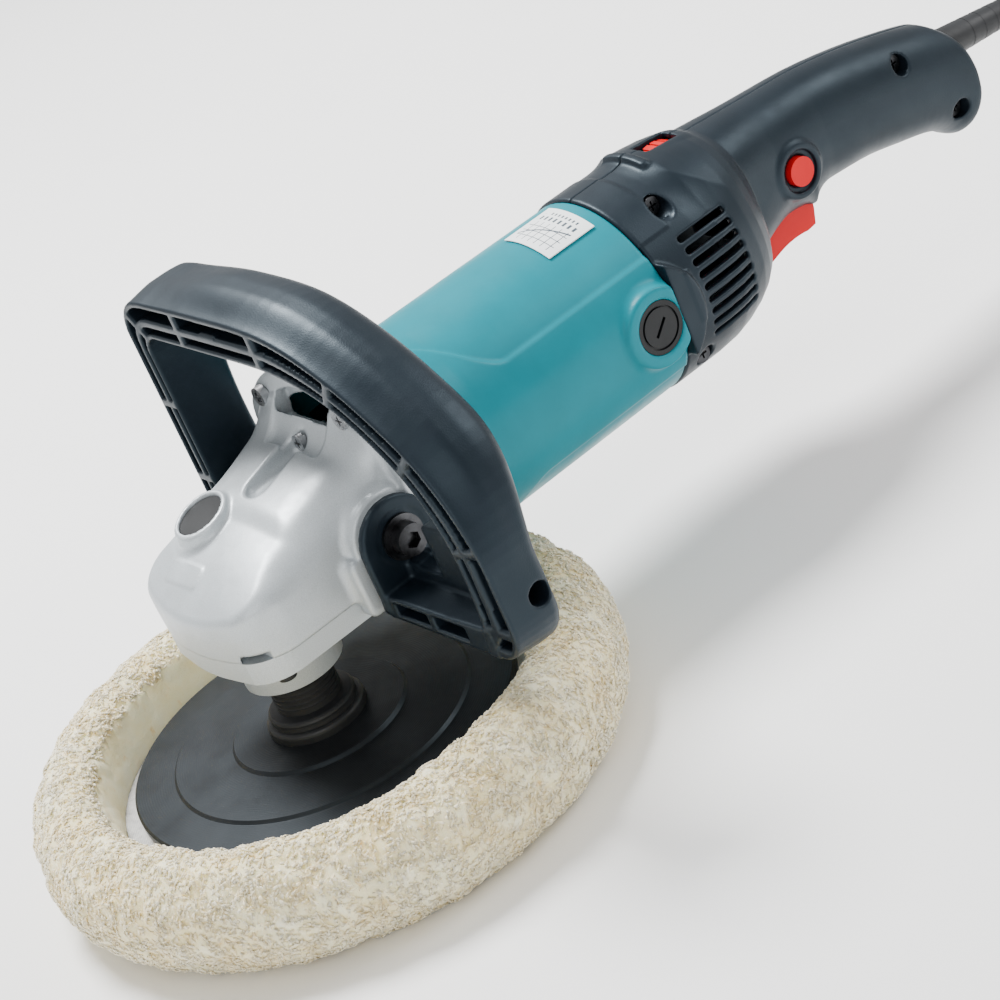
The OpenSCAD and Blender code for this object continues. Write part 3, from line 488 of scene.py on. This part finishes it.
def studio():
    k = Look("floor", (0.86, 0.86, 0.85), 0.8)
    k.colour(k.noise(3, 3), [(0.3, (0.85, 0.85, 0.845)), (0.7, (0.88, 0.88, 0.875))])
    k.bump(k.noise(300, 3), 0.05)
    r = 4000
    floor = mesh_object("floor", [(-r, -r, -0.3), (r, -r, -0.3), (r, r, -0.3), (-r, r, -0.3)],
                        [(0, 1, 2, 3)], k.mat)
    aim = (0, 0.15, 0.08)
    light("key", (-0.8, 0.1, 1.7), aim, 0.8, 90)
    light("fill", (1.4, -1.2, 0.9), aim, 1.4, 12)
    light("rim", (0.7, 1.5, 1.2), aim, 0.9, 17)
    world = bpy.data.worlds.new("studio")
    world.use_nodes = True
    world.node_tree.nodes["Background"].inputs["Color"].default_value = (1, 1, 1, 1)
    world.node_tree.nodes["Background"].inputs["Strength"].default_value = 0.8
    bpy.context.scene.world = world


# ---------- cord ----------
COIL = (50, 665)  # centre of the coil: x and y
PITCH = 7.8  # from one turn to the next
LEAD = [(0, 459.64, 104.65), (0, 469.57, 103.43), (0, 490, 100), (0, 508, 94), (0, 524, 85), (0, 538, 73),
        (0, 550, 59), (0, 561, 44), (0, 573, 30), (0, 588, 17), (0, 606, 8), (0.2, 626, 4.5),
        (0.6, 645, 3.8)]
TAIL = [(99.65, 655, 19.3), (99.75, 645, 18.9), (99.9, 636, 18.4), (100, 629, 18)]


def coil_point(t):
    """Point of the coil after t turns: three in, three out above them, then two and a half on top."""
    # each change of turn: (turns at its start and end, change of radius, change of height)
    moves = [(0.81, 1.01, -1, 0), (1.73, 2.01, -1, 0), (2.63, 2.94, 0, 1), (3.56, 3.84, 1, 0),
             (4.57, 4.82, 1, 0), (5.56, 5.69, 0, 1), (5.6, 6.03, -2, 0), (5.88, 6.9, 0, 1),
             (6.17, 8.16, 1, 0), (6.85, 8.34, 0, -1), (6.87, 7.59, 0, 1), (7.49, 7.85, 1, 0),
             (8.13, 8.26, 0, -1)]
    r, z = 49.65, 3.8
    for a, b, dr, dz in moves:
        s = float(step(t, a, b))
        r, z = r + dr * s * PITCH, z + dz * s * PITCH
    a = math.pi - t * 2 * math.pi
    return (COIL[0] + r * math.cos(a), COIL[1] + r * math.sin(a), z)


def cord():
    turns = [coil_point(i / 36) for i in range(int(8.5 * 36) + 1)]
    pts = LEAD + turns + TAIL
    ob = curve_object("supply_cord", pts, 3.8, LOOK["rubber"], res=3)
    length = sum(math.dist(a, b) for a, b in zip(pts, pts[1:]))
    print("cord length", round(length, 1))
    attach(ob, "tool")
    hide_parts("power_cord", "cord_coil", "cord_tail")
    tie = coil_tie()


def coil_tie():
    """Hook and loop strap round the bundle on the far side of the coil, with its free end lapped over."""
    rings = []
    path = spline([(-13.6, 0), (-14.2, 8), (-14, 21), (-11.5, 30), (-4, 36.2), (4, 34.6), (11.6, 28),
                   (14.8, 20), (15, 8), (13.6, 1), (0, 0.6)], 6, closed=True)
    mid = COIL[1] + 41.4
    for i, p in enumerate(path):
        a, b = np.array(path[i - 1]), np.array(path[(i + 1) % len(path)])
        t = (b - a) / np.linalg.norm(b - a)
        n = np.array([t[1], -t[0]])
        for x, h in ((-6, 0.0), (-6, 1.2), (6, 1.2), (6, 0.0)):
            q = np.array(p) + n * h
            rings.append((COIL[0] + x, mid + q[0], max(q[1], 0.2)))
    n = len(path)
    faces = [(4 * i + k, 4 * i + (k + 1) % 4, 4 * ((i + 1) % n) + (k + 1) % 4, 4 * ((i + 1) % n) + k)
             for i in range(n) for k in range(4)]
    ob = mesh_object("coil_tie", rings, faces, LOOK["hook_tape"])
    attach(ob, "tool")
    return ob


camera()
studio()
cord()


# ---------- gear head ----------
def motor_r(x, z):
    return np.hypot(x, z - AXIS_Z)


def head_top(x, y):
    """Height of the crowned top plane, which climbs to the lip of the air outlet."""
    return 126 + 0.29 * y - 4.2 * (x / 38) ** 2 + 8.5 * np.clip((y - 38) / 12, 0, 1) ** 3


def head_body(x, y, z):
    side = np.abs(x) - 42 + 0.05 * np.maximum(z - 100, 0)
    nose = np.hypot(x, y - 55) - 90 + 0.04 * np.maximum(100 - z, 0)
    plan = rmax(side, nose, 12)
    top = (z - head_top(x, y)) / 1.04
    slope = (z - 108.2 - 0.72 * (y + 33) + 2.2 * (x / 38) ** 2) / 1.23
    edge = 2.2 + 9.8 * step(y, -30, 0)
    return rmax(rmax(smax(top, slope, 6), plan, edge), 88.8 - z, 0.6)


def head_outside(x, y, z):
    r = motor_r(x, z)
    d = rmax(head_body(x, y, z), y - 52, 1)
    # flare to the flange, under the line of the top plane
    flare = rmax(r - 34 - 12 * step(y, 16, 54), slab(y, 10, 54), 2)
    over = (z - 126 - 0.29 * y + 4.2 * (x / 38) ** 2 - 16 * np.clip((y - 38) / 14, 0, 1) ** 2) / 1.3
    d = rmin(d, smax(flare, over, 5), 7)
    flange = rmax(rmax(r - 57, np.abs(x) - 49, 5), slab(y, 52.4, 59.85), 1.2)
    d = rmin(d, flange, 3.5)
    # mounting pad and tab at both sides
    s = np.abs(x)
    pad = np.minimum(np.hypot(y - BOLT[0], z - BOLT[1]) - 17.5, rect(y, z, (19, 80.4), (30, 106), 3))
    d = rmin(d, rmax(pad, slab(s, 34, 46.6), 1.6), 4)
    boss = rmax(np.hypot(y - BOLT[0], z - BOLT[1]) - 14, slab(s, 34, 49.9), 1.2)
    d = rmin(d, boss, 1.5)
    # raised panel on the slope of the nose
    d = d - 0.45 * step(rect(x, y, (-21, -25), (2, -16.5), 2), 0.5, -0.5) * step(z, 108, 110)
    # collar of the shaft lock button, its top follows the slope
    collar = rmax(np.hypot(x - LOCK[0], y - LOCK[1]) - 12.3, (z - 130.8 - 0.29 * y) / 1.04, 1.3)
    return rmin(d, rmax(collar, 112 - z, 1), 2.5)


def gear_head(x, y, z):
    r = motor_r(x, z)
    d = head_outside(x, y, z)
    # air outlet: an arched pocket between the lip of the top plane and the flange
    arch = rmax(np.abs(x) - 20, (head_top(x, y) + 0.2 - z) / 1.3, 4)
    arch = rmax(arch, rmax(r - 48.4, slab(y, 38, 54.4), 1), 1.5)
    d = rmax(d, -arch, 0.8)
    well = rmax(rmax(slab(y, 49, 57), np.abs(x) - 19.4, 1), np.maximum(141 - z, r - 47.4), 1)
    d = rmax(d, -well, 0.6)
    room = rmax(head_body(x, y, z) + 3.4, y - 38, 2)
    room = np.maximum(room, z - 125.5 - 100 * step(np.abs(x), 8, 12))
    d = rmax(d, -room, 0.8)
    d = np.maximum(d, -rmax(r - 14.0, slab(y, 30, 52.1), 0.3))
    d = np.maximum(d, -rmax(r - 20 - 23.5 * np.clip((y - 52) / 5, 0, 1), slab(y, 51.9, 62), 0.3))
    # trough over the bearing plate screw, its floor flatter than the top
    trough = rmax(np.abs(x) - 6.4, slab(y, 13.5, 46.8), 6.3)
    trough = rmax(trough, 128.9 + 0.085 * (y - 15) - z, 4)
    d = rmax(d, -trough, 1.4)
    # shaft lock well, bolt and screw holes
    d = np.maximum(d, -np.maximum(np.hypot(x - LOCK[0], y - LOCK[1]) - 10.1, 118 - z))
    d = np.maximum(d, -(np.hypot(y - BOLT[0], z - BOLT[1]) - 3.5 + 100 * (np.abs(x) < 36)))
    for a in SCREW_ANGLES:
        cx, cz = 51 * math.cos(math.radians(a)), AXIS_Z + 51 * math.sin(math.radians(a))
        d = np.maximum(d, -(np.hypot(x - cx, z - cz) - 2.2))
    # seat of the bearing plate and the notch at its front corner
    d = np.maximum(d, -np.maximum(np.maximum(np.abs(x) - 40.0, y - 38.3), z - 89))
    notch = rect(y, z, (-30, 84), (-22, 92.6), 1.0)
    return rmax(d, -rmax(notch, np.abs(x) - 60, 0.3) - 100 * (np.abs(x) < 24), 0.5)


def make_gear_head():
    ob = field_object("head_casting", gear_head, (-51, -38, 73), (51, 61, 168), 0.85, LOOK["casting"])
    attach(ob, "tool")
    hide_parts("gear_housing")


# ---------- motor housing ----------
def barrel(x, y, z):
    r = motor_r(x, z)
    th = np.degrees(np.arctan2(z - AXIS_Z, np.abs(x)))
    # side panel stands a little proud; its upper edge climbs towards the flare
    upper = 33 + 38 * step(y, 122, 88)
    lower = -36 - 30 * step(y, 122, 88)
    panel = 0.9 * step(upper - th, -1.6, 1.6) * step(th - lower, -1.6, 1.6)
    wide = np.interp(np.clip(y, 55, 205), [55, 66, 70, 76, 82, 90, 100, 205],
                     [57, 56.6, 55.2, 51.6, 48.8, 47.0, 46.3, 45.8])
    d = (r - wide - panel) / 1.15
    d = rmax(d, np.abs(x) - 49, 4)
    d = rmax(d, slab(y, 60.1, 199.7), 0.9)
    return d


def motor_shell(x, y, z):
    r = motor_r(x, z)
    d = barrel(x, y, z)
    s = np.abs(x)
    at = np.hypot(y - 188, z - AXIS_Z)
    boss = rmax(at - 17.2, slab(s, 30, 48.7), 1.6)
    d = rmin(d, rmax(boss, y - 199.7, 0.9), 3)
    d = rmax(d, -rmax(at - 11.6, 45.6 - s, 0.3), 0.7)
    bore = np.maximum(r - 43.5, slab(y, 40, 220))
    tube = np.maximum(at - 11, slab(s, 24, 46))
    d = np.maximum(d, -np.maximum(bore, -tube))
    d = np.maximum(d, -np.maximum(at - 7.6, slab(s, 10, 46)))
    return np.maximum(d, -np.maximum(at - 9.1, slab(s, 42, 50)))


def make_motor_housing():
    ob = field_object("motor_shell", motor_shell, (-50, 58, 50), (50, 202, 168), 1.0, LOOK["teal_plastic"])
    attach(ob, "tool")
    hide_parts("motor_housing")


# ---------- rear casing and grip ----------
GRIP_TOP = [(236, 151), (252, 151), (269, 150.2), (298, 147.5), (328, 144.8), (357, 139.6), (383, 133),
            (399, 128), (412, 122), (430, 112)]
GRIP_LOW = [(430, 69), (412, 70), (403, 71.5), (396, 74), (389.5, 79), (380, 83), (364, 87), (346, 91.2),
            (328, 93.4), (319, 94), (313.5, 92.2), (310.6, 88.8), (307.5, 88.8), (303, 91), (293, 92.2),
            (284, 90.6), (276, 88), (268, 86), (252, 84), (236, 84)]
GRIP_END = spline([(392, 150), (397, 134), (402, 126), (406.5, 119), (409.3, 112), (410.4, 105), (410.6, 97),
                   (409.4, 89.5), (407, 83), (403.5, 77), (399.5, 72), (397, 62)], 3)


def grip(x, y, z, side):
    """Grip: side outline with an oval section, flatter on its cheeks, cut off by the rounded end."""
    half = np.interp(np.clip(y, 230, 425), [236, 252, 268, 290, 320, 400, 425],
                     [31, 29, 25, 21.8, 20.2, 20, 19.6])
    u = np.clip(1 + side / 24.5, 0, 3)
    oval = ((np.abs(x / half) ** 2.3 + u ** 2.3) ** (1 / 2.3) - 1) * 19.5
    end = outline(y, z, [(150, 40), (150, 200), (392, 200)] + GRIP_END + [(397, 40)])
    return rmax(oval, end, 2.6)


def casing_outside(x, y, z):
    r = motor_r(x, z)
    side = outline(y, z, spline(GRIP_TOP, 3) + spline(GRIP_LOW, 3))
    body = np.interp(np.clip(y, 190, 290), [199, 226, 236, 244, 251, 257, 262, 266, 269, 271],
                     [46.4, 46.4, 45.7, 44.0, 41.6, 38.4, 34, 27, 17, 2])
    d = rmax((r - body) / (1.05 + 0.55 * step(y, 240, 262)), 200.2 - y, 0.8)
    # crescent beside the brush cap
    at = np.hypot(y - 188, z - AXIS_Z)
    d = rmin(d, rmax(rmax(at - 25, slab(np.abs(x), 30, 47.6), 1.2), 200.3 - y, 0.6), 1.5)
    # narrow raised panel between the crescent and the cooling slots
    th = np.arctan2(z - AXIS_Z, np.abs(x))
    d = d - 0.45 * step(rect(46.4 * th, y, (-10, 208), (13, 212.6), 1), 0.5, -0.5)
    d = rmin(d, grip(x, y, z, side), 11)
    # collar round the lock button, with a groove beside the button
    button = np.hypot(y - BUTTON[0], z - BUTTON[1])
    d = rmin(d, rmax(button - 12.4, slab(x, 5, 22.6), 1.2), 2.5)
    d = rmax(d, -rmax(button - 9.4, 20.6 - x, 0.5), 0.7)
    # cross rib and the low hump of the speed dial on top
    rib = rmax(rmax(slab(y, 230, 234.4), np.abs(x) - 14, 1.8), z - 158.3 + 0.012 * x * x, 1.2)
    d = rmin(d, rmax(rib, 140 - z, 1), 1.6)
    hump = rmax(rmax(np.abs(x) - 8, slab(y, 237, 262), 5), z - 151.8 + 0.002 * (y - 248) ** 2, 2)
    return rmin(d, rmax(hump, 130 - z, 1), 4)


CASE_SCREWS = ((220.3, 143.5, 22), (212, 78, 30), (371, 124.3, 10), (396, 88.5, 10))


def casing_holes(x, y, z):
    """Openings and rooms of the casing, negative inside them."""
    r = motor_r(x, z)
    room = np.interp(np.clip(y, 190, 290), [199, 228, 242, 253, 260.5, 261], [43, 43, 41, 37, 30, 0])
    d = np.maximum((r - room) / 1.4, slab(y, 190, 260.8))
    for lo, hi in (((-13, 255, 101), (13, 326, 136)), ((-12.5, 325, 101), (12.5, 352, 131)),
                   ((-11.5, 350, 99), (11.5, 373, 127)), ((-11.5, 372, 96), (11.5, 389, 119)),
                   ((-9, 384, 98), (9, 401, 118))):
        d = np.minimum(d, block(x, y, z, lo, hi, 1))
    d = np.minimum(d, block(x, y, z, (-8.8, 276.5, 70), (8.8, 312.2, 104), 2))
    # speed dial slot and well
    d = np.minimum(d, np.maximum(np.hypot(y - DIAL[0], z - DIAL[1]) - 16.8, np.abs(x) - 5.5))
    d = np.minimum(d, block(x, y, z, (-5.5, 240.2, 145), (5.5, 257.4, 166), 1))
    d = np.minimum(d, block(x, y, z, (-7, 231.8, 118), (7, 265.8, 148), 1))
    # cord passage
    c, s = math.cos(math.radians(7)), math.sin(math.radians(7))
    v = (y - 412) * s + (z - 110.5) * c
    w = (y - 412) * c - (z - 110.5) * s
    d = np.minimum(d, np.maximum(np.hypot(x, v) - 8.0, slab(w, -16, 30)))
    d = np.minimum(d, np.maximum(np.hypot(x, v) - 10.6, slab(w, -17, -11.8)))
    # lock button and screws
    d = np.minimum(d, np.maximum(np.hypot(y - BUTTON[0], z - BUTTON[1]) - 6.7, -x))
    for py, pz, seat in CASE_SCREWS:
        hole = np.hypot(y - py, z - pz)
        d = np.maximum(d, -np.maximum(hole - 7.5, np.abs(x) - seat - 9))
        d = np.minimum(d, np.maximum(hole - 4.6, seat - x))
    return d


def vents(x, y, z):
    """Nine cooling slots at each side, running back over the rounded end."""
    r = motor_r(x, z)
    th = np.degrees(np.arctan2(z - AXIS_Z, np.abs(x)))
    d = np.full(np.broadcast(x, y, z).shape, 1e3)
    for i in range(9):
        a = (th - 30 + 7.2 * i) * math.pi / 180 * r
        slot = rect(a, y, (-1.5, 216), (1.5, 243.6), 1.45)
        d = np.minimum(d, slot)
    return np.maximum(d, 30 - r)


def casing_half(sign):
    def field(x, y, z):
        d = casing_outside(x, y, z)
        # line that runs from the joint with the motor housing to the first vent
        step_line = 0.55 * step(np.degrees(np.arctan2(z - AXIS_Z, np.abs(x))), 38, 39.5) * step(y, 218, 216)
        d = d - step_line
        d = rmax(d, -vents(x, y, z), 0.6)
        d = rmax(d, -casing_holes(x, y, z), 0.7)
        return rmax(d, 0.12 - sign * x, 0.7)
    return field


def make_casing():
    for name, node, sign in (("casing_left", "handle_left", 1), ("casing_right", "handle_right", -1)):
        lo, hi = ((-0.4, 50) if sign > 0 else (-50, 0.4))
        ob = field_object(name, casing_half(sign), (lo, 198, 60), (hi, 426, 164), 0.85, LOOK["dark_plastic"])
        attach(ob, "tool")
        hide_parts(node)


# ---------- loop handle ----------
LOOP_OUT = ([(-62, 40), (-62, 186)] + arc(-43, 188.5, 19.2, 178, 92, 8)
            + spline([(-40, 208), (0, 208.4), (37, 207.6), (60, 203.2), (82.5, 193.6), (101, 182),
                      (118.6, 167.5), (131, 149.5), (138, 129), (139, 113), (139, 98)], 4)
            + arc(122, 96, 17, 0, -90, 8) + [(122, 40)])
LOOP_IN = ([(-50, 0), (-50, 182)] + arc(-41, 182, 9, 180, 90, 6)
           + spline([(-30, 191), (0, 191), (34, 190.6), (55, 188), (75.2, 181.8), (92.5, 171.2),
                     (107.5, 156.8), (116.5, 140), (120.4, 121), (119, 99), (115.6, 79)], 4) + [(115.6, 0)])
LOOP_RIBS = [(-17, 200, 1, 0), (38, 200, 1, 0), (80, 188, 0.86, -0.5), (113, 163, 0.68, -0.73),
             (129.5, 128, 0.2, -0.98), (127, 92, 0, -1), (-52, 196, 0.7, 0.7), (-56, 158, 0, 1),
             (-56, 122, 0, 1)]


def loop_pockets(x, y, z, across, wide):
    """Two rows of pockets in the front face, between cross ribs."""
    d = np.minimum(np.abs(across - 0.31) - 0.165, np.abs(across - 0.77) - 0.10) * wide
    for cx, cz, tx, tz in LOOP_RIBS:
        along = np.abs((x - cx) * tx + (z - cz) * tz) - 1.9
        near = np.hypot(x - cx, z - cz) - 24
        d = np.maximum(d, -np.maximum(along, near))
    ends = np.maximum(84 - z, np.where(x < 0, 96 - z, 0))
    return rmax(np.maximum(d, ends), y - 36, 0.8)


def loop_band(x, y, z):
    out, inn = outline(x, z, LOOP_OUT), outline(x, z, LOOP_IN)
    wide = np.maximum(-out + inn, 6)
    # the back swells out past the front face along the bend; the low end is flatter and less deep
    low = step(z, 168, 116) * step(x, 60, 90)
    swell = (6.3 * step(y, 23, 39) - 2.6 * step(y, 44, 58)) * (1 - 0.8 * low) * (1 - 0.7 * step(x, 10, -45))
    d = rmax(out - swell, -inn + 1.2 * step(y, 38, 58), 2.4)
    d = rmax(d, 24.1 - y, 1.1)
    d = rmax(d, y - 58 + 11 * low, 7 - 2 * low)
    return rmax(d, -loop_pockets(x, y, z, -out / wide, wide) - 100 * (y > 40), 0.7)


def loop(x, y, z):
    bolt = np.hypot(y - BOLT[0], z - BOLT[1])
    leg = outline(y, z, [(20, 240), (56, 240), (58, 200)]
                  + spline([(57, 180), (53.5, 150), (54, 122), (56.5, 104)], 4)
                  + arc(41, 97, 17, 0, -180, 10) + [(24, 97), (20, 120)])
    d = rmax(loop_band(x, y, z), np.where(x < 20, leg, -50), 2.5)
    d = rmax(d, 79.2 - z, 1.5)
    # bracket plate at the near side
    shape = outline(y, z, [(57, 79.2), (57, 108)] + arc(40, 107.2, 17.2, 0, 165, 12)
                    + spline([(22.8, 108), (22.6, 99), (22.8, 88)], 4) + arc(27, 84.2, 4.6, 180, 270, 5))
    d = rmin(d, rmax(shape, slab(x, 50.1, 54), 1.2), 2)
    # web between bracket and grip, and its lower rim
    web = rmax(outline(x, z, [(52, 81), (118, 81), (118, 122), (106, 121), (52, 116)]), slab(y, 38.5, 46), 1)
    d = rmin(d, web, 2.5)
    rim = outline(x, z, [(52, 79.2), (122, 79.2), (122, 92), (92, 90.4), (66, 90), (52, 90)])
    rim = rmax(rim, slab(y, 24.1, 47), 1.2)
    d = rmin(d, rim, 1.5)
    for lo, hi in (((57, 82.2), (79, 87.6)), ((83, 82.2), (104, 88.4))):
        d = rmax(d, -rmax(rect(x, z, lo, hi, 1), y - 35, 0.8), 0.6)
    # seats of the bolts, the lug beside the near one, bolt holes and the small hole at the low end
    d = rmax(d, -np.maximum(bolt - 11, np.maximum(54 - np.abs(x), np.abs(x) - 76)), 1)
    d = rmin(d, block(x, y, z, (52, 39, 90.5), (60.5, 49, 97), 0.8), 1)
    d = np.maximum(d, -np.maximum(bolt - 4.4, slab(np.abs(x), 48, 60)))
    return rmax(d, -np.maximum(np.hypot(y - 40.2, z - 102.7) - 4.9, 121 - x), 0.5)


def make_loop():
    ob = field_object("loop_grip", loop, (-70, 18, 76), (148, 61, 217), 0.85, LOOK["dark_plastic"])
    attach(ob, "tool")
    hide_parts("loop_handle")


make_gear_head()
make_motor_housing()
make_casing()
make_loop()


# ---------- carried-over parts ----------
def finish_nodes():
    """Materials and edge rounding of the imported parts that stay."""
    looks = {
        "rubber": "drive_hub bearing_cup cord_guard plug_body",
        "plate": "rubber_plate",
        "hook_tape": "hook_disc",
        "cloth": "wool_backing",
        "wool": "wool_pad",
        "steel": "lock_nut spindle shaft_lock_pin shaft_lock_spring armature_shaft brush_springs "
                 "trigger_pin spindle_bearing front_bearing rear_bearing",
        "gear_steel": "bevel_gear pinion",
        # these screws and bolts get the near-black steel that paints the shade of their deep holes
        "screw_steel": "box_screws loop_bolts loop_washers handle_screws clamp_screws",
        "bright_screw": "head_screws",
        "bronze": "spindle_bush",
        "casting": "bearing_box",
        "black_plastic": "shaft_lock_button brush_caps fan fan_baffle switch_body dial_base cord_clamp",
        "label": "chart_label",
        "laminations": "armature_core stator_core",
        "copper": "armature_winding field_coils commutator",
        "brass": "brush_holders plug_pins",
        "carbon": "carbon_brushes",
        "red_plastic": "trigger lock_button speed_dial",
        "potting": "speed_controller",
    }
    # width of the rounded edge on parts that are seen
    wide = {
        "rubber_plate": 0.8, "bearing_box": 1.0, "shaft_lock_button": 0.8, "trigger": 1.2,
        "lock_button": 1.2,
        "speed_dial": 0.3, "brush_caps": 0.6, "plug_body": 0.8, "loop_bolts": 0.5, "plug_pins": 0.6,
        "handle_screws": 0.25, "head_screws": 0.25, "drive_hub": 0.25, "cord_guard": 0.3, "lock_nut": 0.5,
    }
    for look, names in looks.items():
        for name in names.split():
            ob = NODES[name]
            ob.data.materials.clear()
            ob.data.materials.append(LOOK[look])
            if name in wide:
                m = ob.modifiers.new("soft_edges", "BEVEL")
                m.width, m.segments, m.limit_method = wide[name] * MM, 3, "ANGLE"
                m.angle_limit, m.harden_normals = math.radians(35), True


finish_nodes()


# ---------- wool pad ----------
PILE_REACH, LOCK_REACH = 126.6, 128.4  # how far the wool and its locks may stand out from the axis
WOOL_LINE = spline([(89.6, 21.2), (90, 27), (91.6, 34), (94.3, 40), (98.2, 44.4), (103, 46.6), (109, 46.2),
                    (115, 43.2), (120.2, 38), (123.6, 31), (125, 24), (123.8, 16.5), (120.4, 9.5), (115, 4),
                    (108, 1.2)], 8)


def wool_profile():
    """Resampled line (radius, height) of the pile's outer face and its outward normal."""
    line = np.array(WOOL_LINE)
    gap = np.linalg.norm(np.diff(line, axis=0), axis=1)
    at = np.concatenate([[0], np.cumsum(gap)])
    even = np.linspace(0, at[-1], 118)
    p = np.stack([np.interp(even, at, line[:, 0]), np.interp(even, at, line[:, 1])], 1)
    t = np.gradient(p, axis=0)
    t /= np.linalg.norm(t, axis=1, keepdims=True)
    return p, np.stack([-t[:, 1], t[:, 0]], 1)


def lumps(points, seed, spacing):
    """Height of a knobbly pile at the points: round clumps about spacing apart, of uneven size."""
    rng = np.random.default_rng(seed)
    p, _ = wool_profile()
    length = len(p) * 1.05
    count = int(2 * math.pi * 108 * length / spacing ** 2)
    a = rng.uniform(0, 2 * math.pi, count)
    i = rng.integers(0, len(p), count)
    centre = np.stack([p[i, 0] * np.cos(a), p[i, 0] * np.sin(a), p[i, 1]], 1)
    tall = rng.uniform(0.5, 1.0, count)
    tree = kdtree.KDTree(count)
    for k, c in enumerate(centre):
        tree.insert(c, k)
    tree.balance()
    out = np.zeros(len(points))
    for k, q in enumerate(points):
        best = 0.0
        for _, j, dist in tree.find_n(q, 2):
            best = max(best, tall[j] * (1 - (dist / (0.95 * spacing)) ** 2))
        out[k] = best
    return out


def pile_surface():
    """Points on the pile before and after its clumps are raised, and its normals."""
    p, n = wool_profile()
    around = 640
    a = np.linspace(0, 2 * math.pi, around, endpoint=False)
    c, s = np.cos(a)[None, :], np.sin(a)[None, :]
    grid = np.stack([p[:, 0:1] * c, p[:, 0:1] * s, np.repeat(p[:, 1:2], around, 1)], 2).reshape(-1, 3)
    norm = np.stack([n[:, 0:1] * c, n[:, 0:1] * s, np.repeat(n[:, 1:2], around, 1)], 2).reshape(-1, 3)
    outer = 0.25 + 0.75 * step(np.hypot(grid[:, 0], grid[:, 1]), 91, 97)
    raised = grid + norm * (outer * (2.0 * lumps(grid, 3, 9.0) + 1.2 * lumps(grid, 5, 4.2)) - 0.4)[:, None]
    ring = np.hypot(raised[:, 0], raised[:, 1])
    wave = 0.8 * np.sin(5 * np.arctan2(grid[:, 1], grid[:, 0]) + 1) * step(grid[:, 2], 5, 30)
    raised[:, 2] = np.maximum(raised[:, 2] + wave, 0.4)
    raised[:, :2] *= np.minimum(1, PILE_REACH / ring)[:, None]
    return raised, norm, around, len(p)


def make_wool():
    raised, norm, around, rows = pile_surface()
    extra = []
    for r, z in ((102, 0.3), (60, 0.3)):
        extra.append([(r * math.cos(2 * math.pi * k / around), r * math.sin(2 * math.pi * k / around), z)
                      for k in range(around)])
    top = [[(r * math.cos(2 * math.pi * k / around), r * math.sin(2 * math.pi * k / around), z)
            for k in range(around)] for r, z in ((24.5, 11.2), (24.5, 20.4))]
    verts = np.concatenate([raised, np.array(extra[0]), np.array(extra[1]),
                            [(0, 0, 0.3)], [(0, 0, 11.2)], np.array(top[0]), np.array(top[1])])
    faces = []

    def band(a, b):
        for k in range(around):
            m = (k + 1) % around
            faces.append((a + k, b + k, b + m, a + m))

    for i in range(rows - 1):
        band(i * around, (i + 1) * around)
    base = rows * around
    band((rows - 1) * around, base)
    band(base, base + around)
    hub = base + 2 * around
    for k in range(around):
        faces.append((base + around + k, hub, base + around + (k + 1) % around))
    t0, t1 = hub + 2, hub + 2 + around
    for k in range(around):
        faces.append((hub + 1, t0 + k, t0 + (k + 1) % around))
    band(t0, t1)
    band(t1, 0)
    pad = mesh_object("wool_pile", verts, faces, LOOK["wool"])
    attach(pad, "pad_drive")
    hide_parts("wool_pad")
    grow_locks(raised, norm)


def grow_locks(raised, norm):
    """Short fat curls all over the outer pile, each a closed horn that bends over."""
    rng = np.random.default_rng(11)
    keep = np.flatnonzero(np.hypot(raised[:, 0], raised[:, 1]) > 94)
    sides = 5
    around = [(k, (k + 1) % sides) for k in range(sides)]
    for part in range(4):
        count = 6200
        pick = rng.choice(keep, count)
        root, n = raised[pick], norm[pick]
        side = rng.normal(size=(count, 3))
        side -= n * (side * n).sum(1, keepdims=True)
        side /= np.linalg.norm(side, axis=1, keepdims=True)
        other = np.cross(n, side)
        length = rng.uniform(1.4, 3.0, count)[:, None]
        thick = rng.uniform(0.3, 0.75, count)[:, None]
        bend = rng.uniform(-1, 1, count)[:, None]
        rings = []
        for up, along, twist, w in ((-0.35, 0.0, 0.0, 0.9), (0.12, 0.16, 0.0, 1.0), (0.22, 0.55, 0.3, 0.95),
                                    (0.12, 0.9, 0.65, 0.75)):
            centre = root + length * (n * up + side * along + other * bend * twist)
            lean = n * (1 - along) - side * along
            for k in range(sides):
                a = 2 * math.pi * k / sides
                out = other * math.cos(a) + (lean if along else side) * math.sin(a)
                rings.append(centre + thick * w * out)
        tip = root + length * (n * -0.05 + side * 1.1 + other * bend * 0.85)
        flat = np.stack(rings + [tip], 1).reshape(-1, 3)
        flat[:, 2] = np.maximum(flat[:, 2], 0.15)
        ring = np.hypot(flat[:, 0], flat[:, 1])
        flat[:, :2] *= np.minimum(1, LOCK_REACH / ring)[:, None]
        one = [tuple(range(sides - 1, -1, -1))]
        for a in range(0, 3 * sides, sides):
            one += [(a + k, a + m, a + sides + m, a + sides + k) for k, m in around]
        one += [(3 * sides + k, 3 * sides + m, 4 * sides) for k, m in around]
        faces = [tuple((4 * sides + 1) * k + q for q in f) for k in range(count) for f in one]
        ob = mesh_object("wool_locks_%d" % (part + 1), flat, faces, LOOK["wool"])
        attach(ob, "pad_drive")


make_wool()
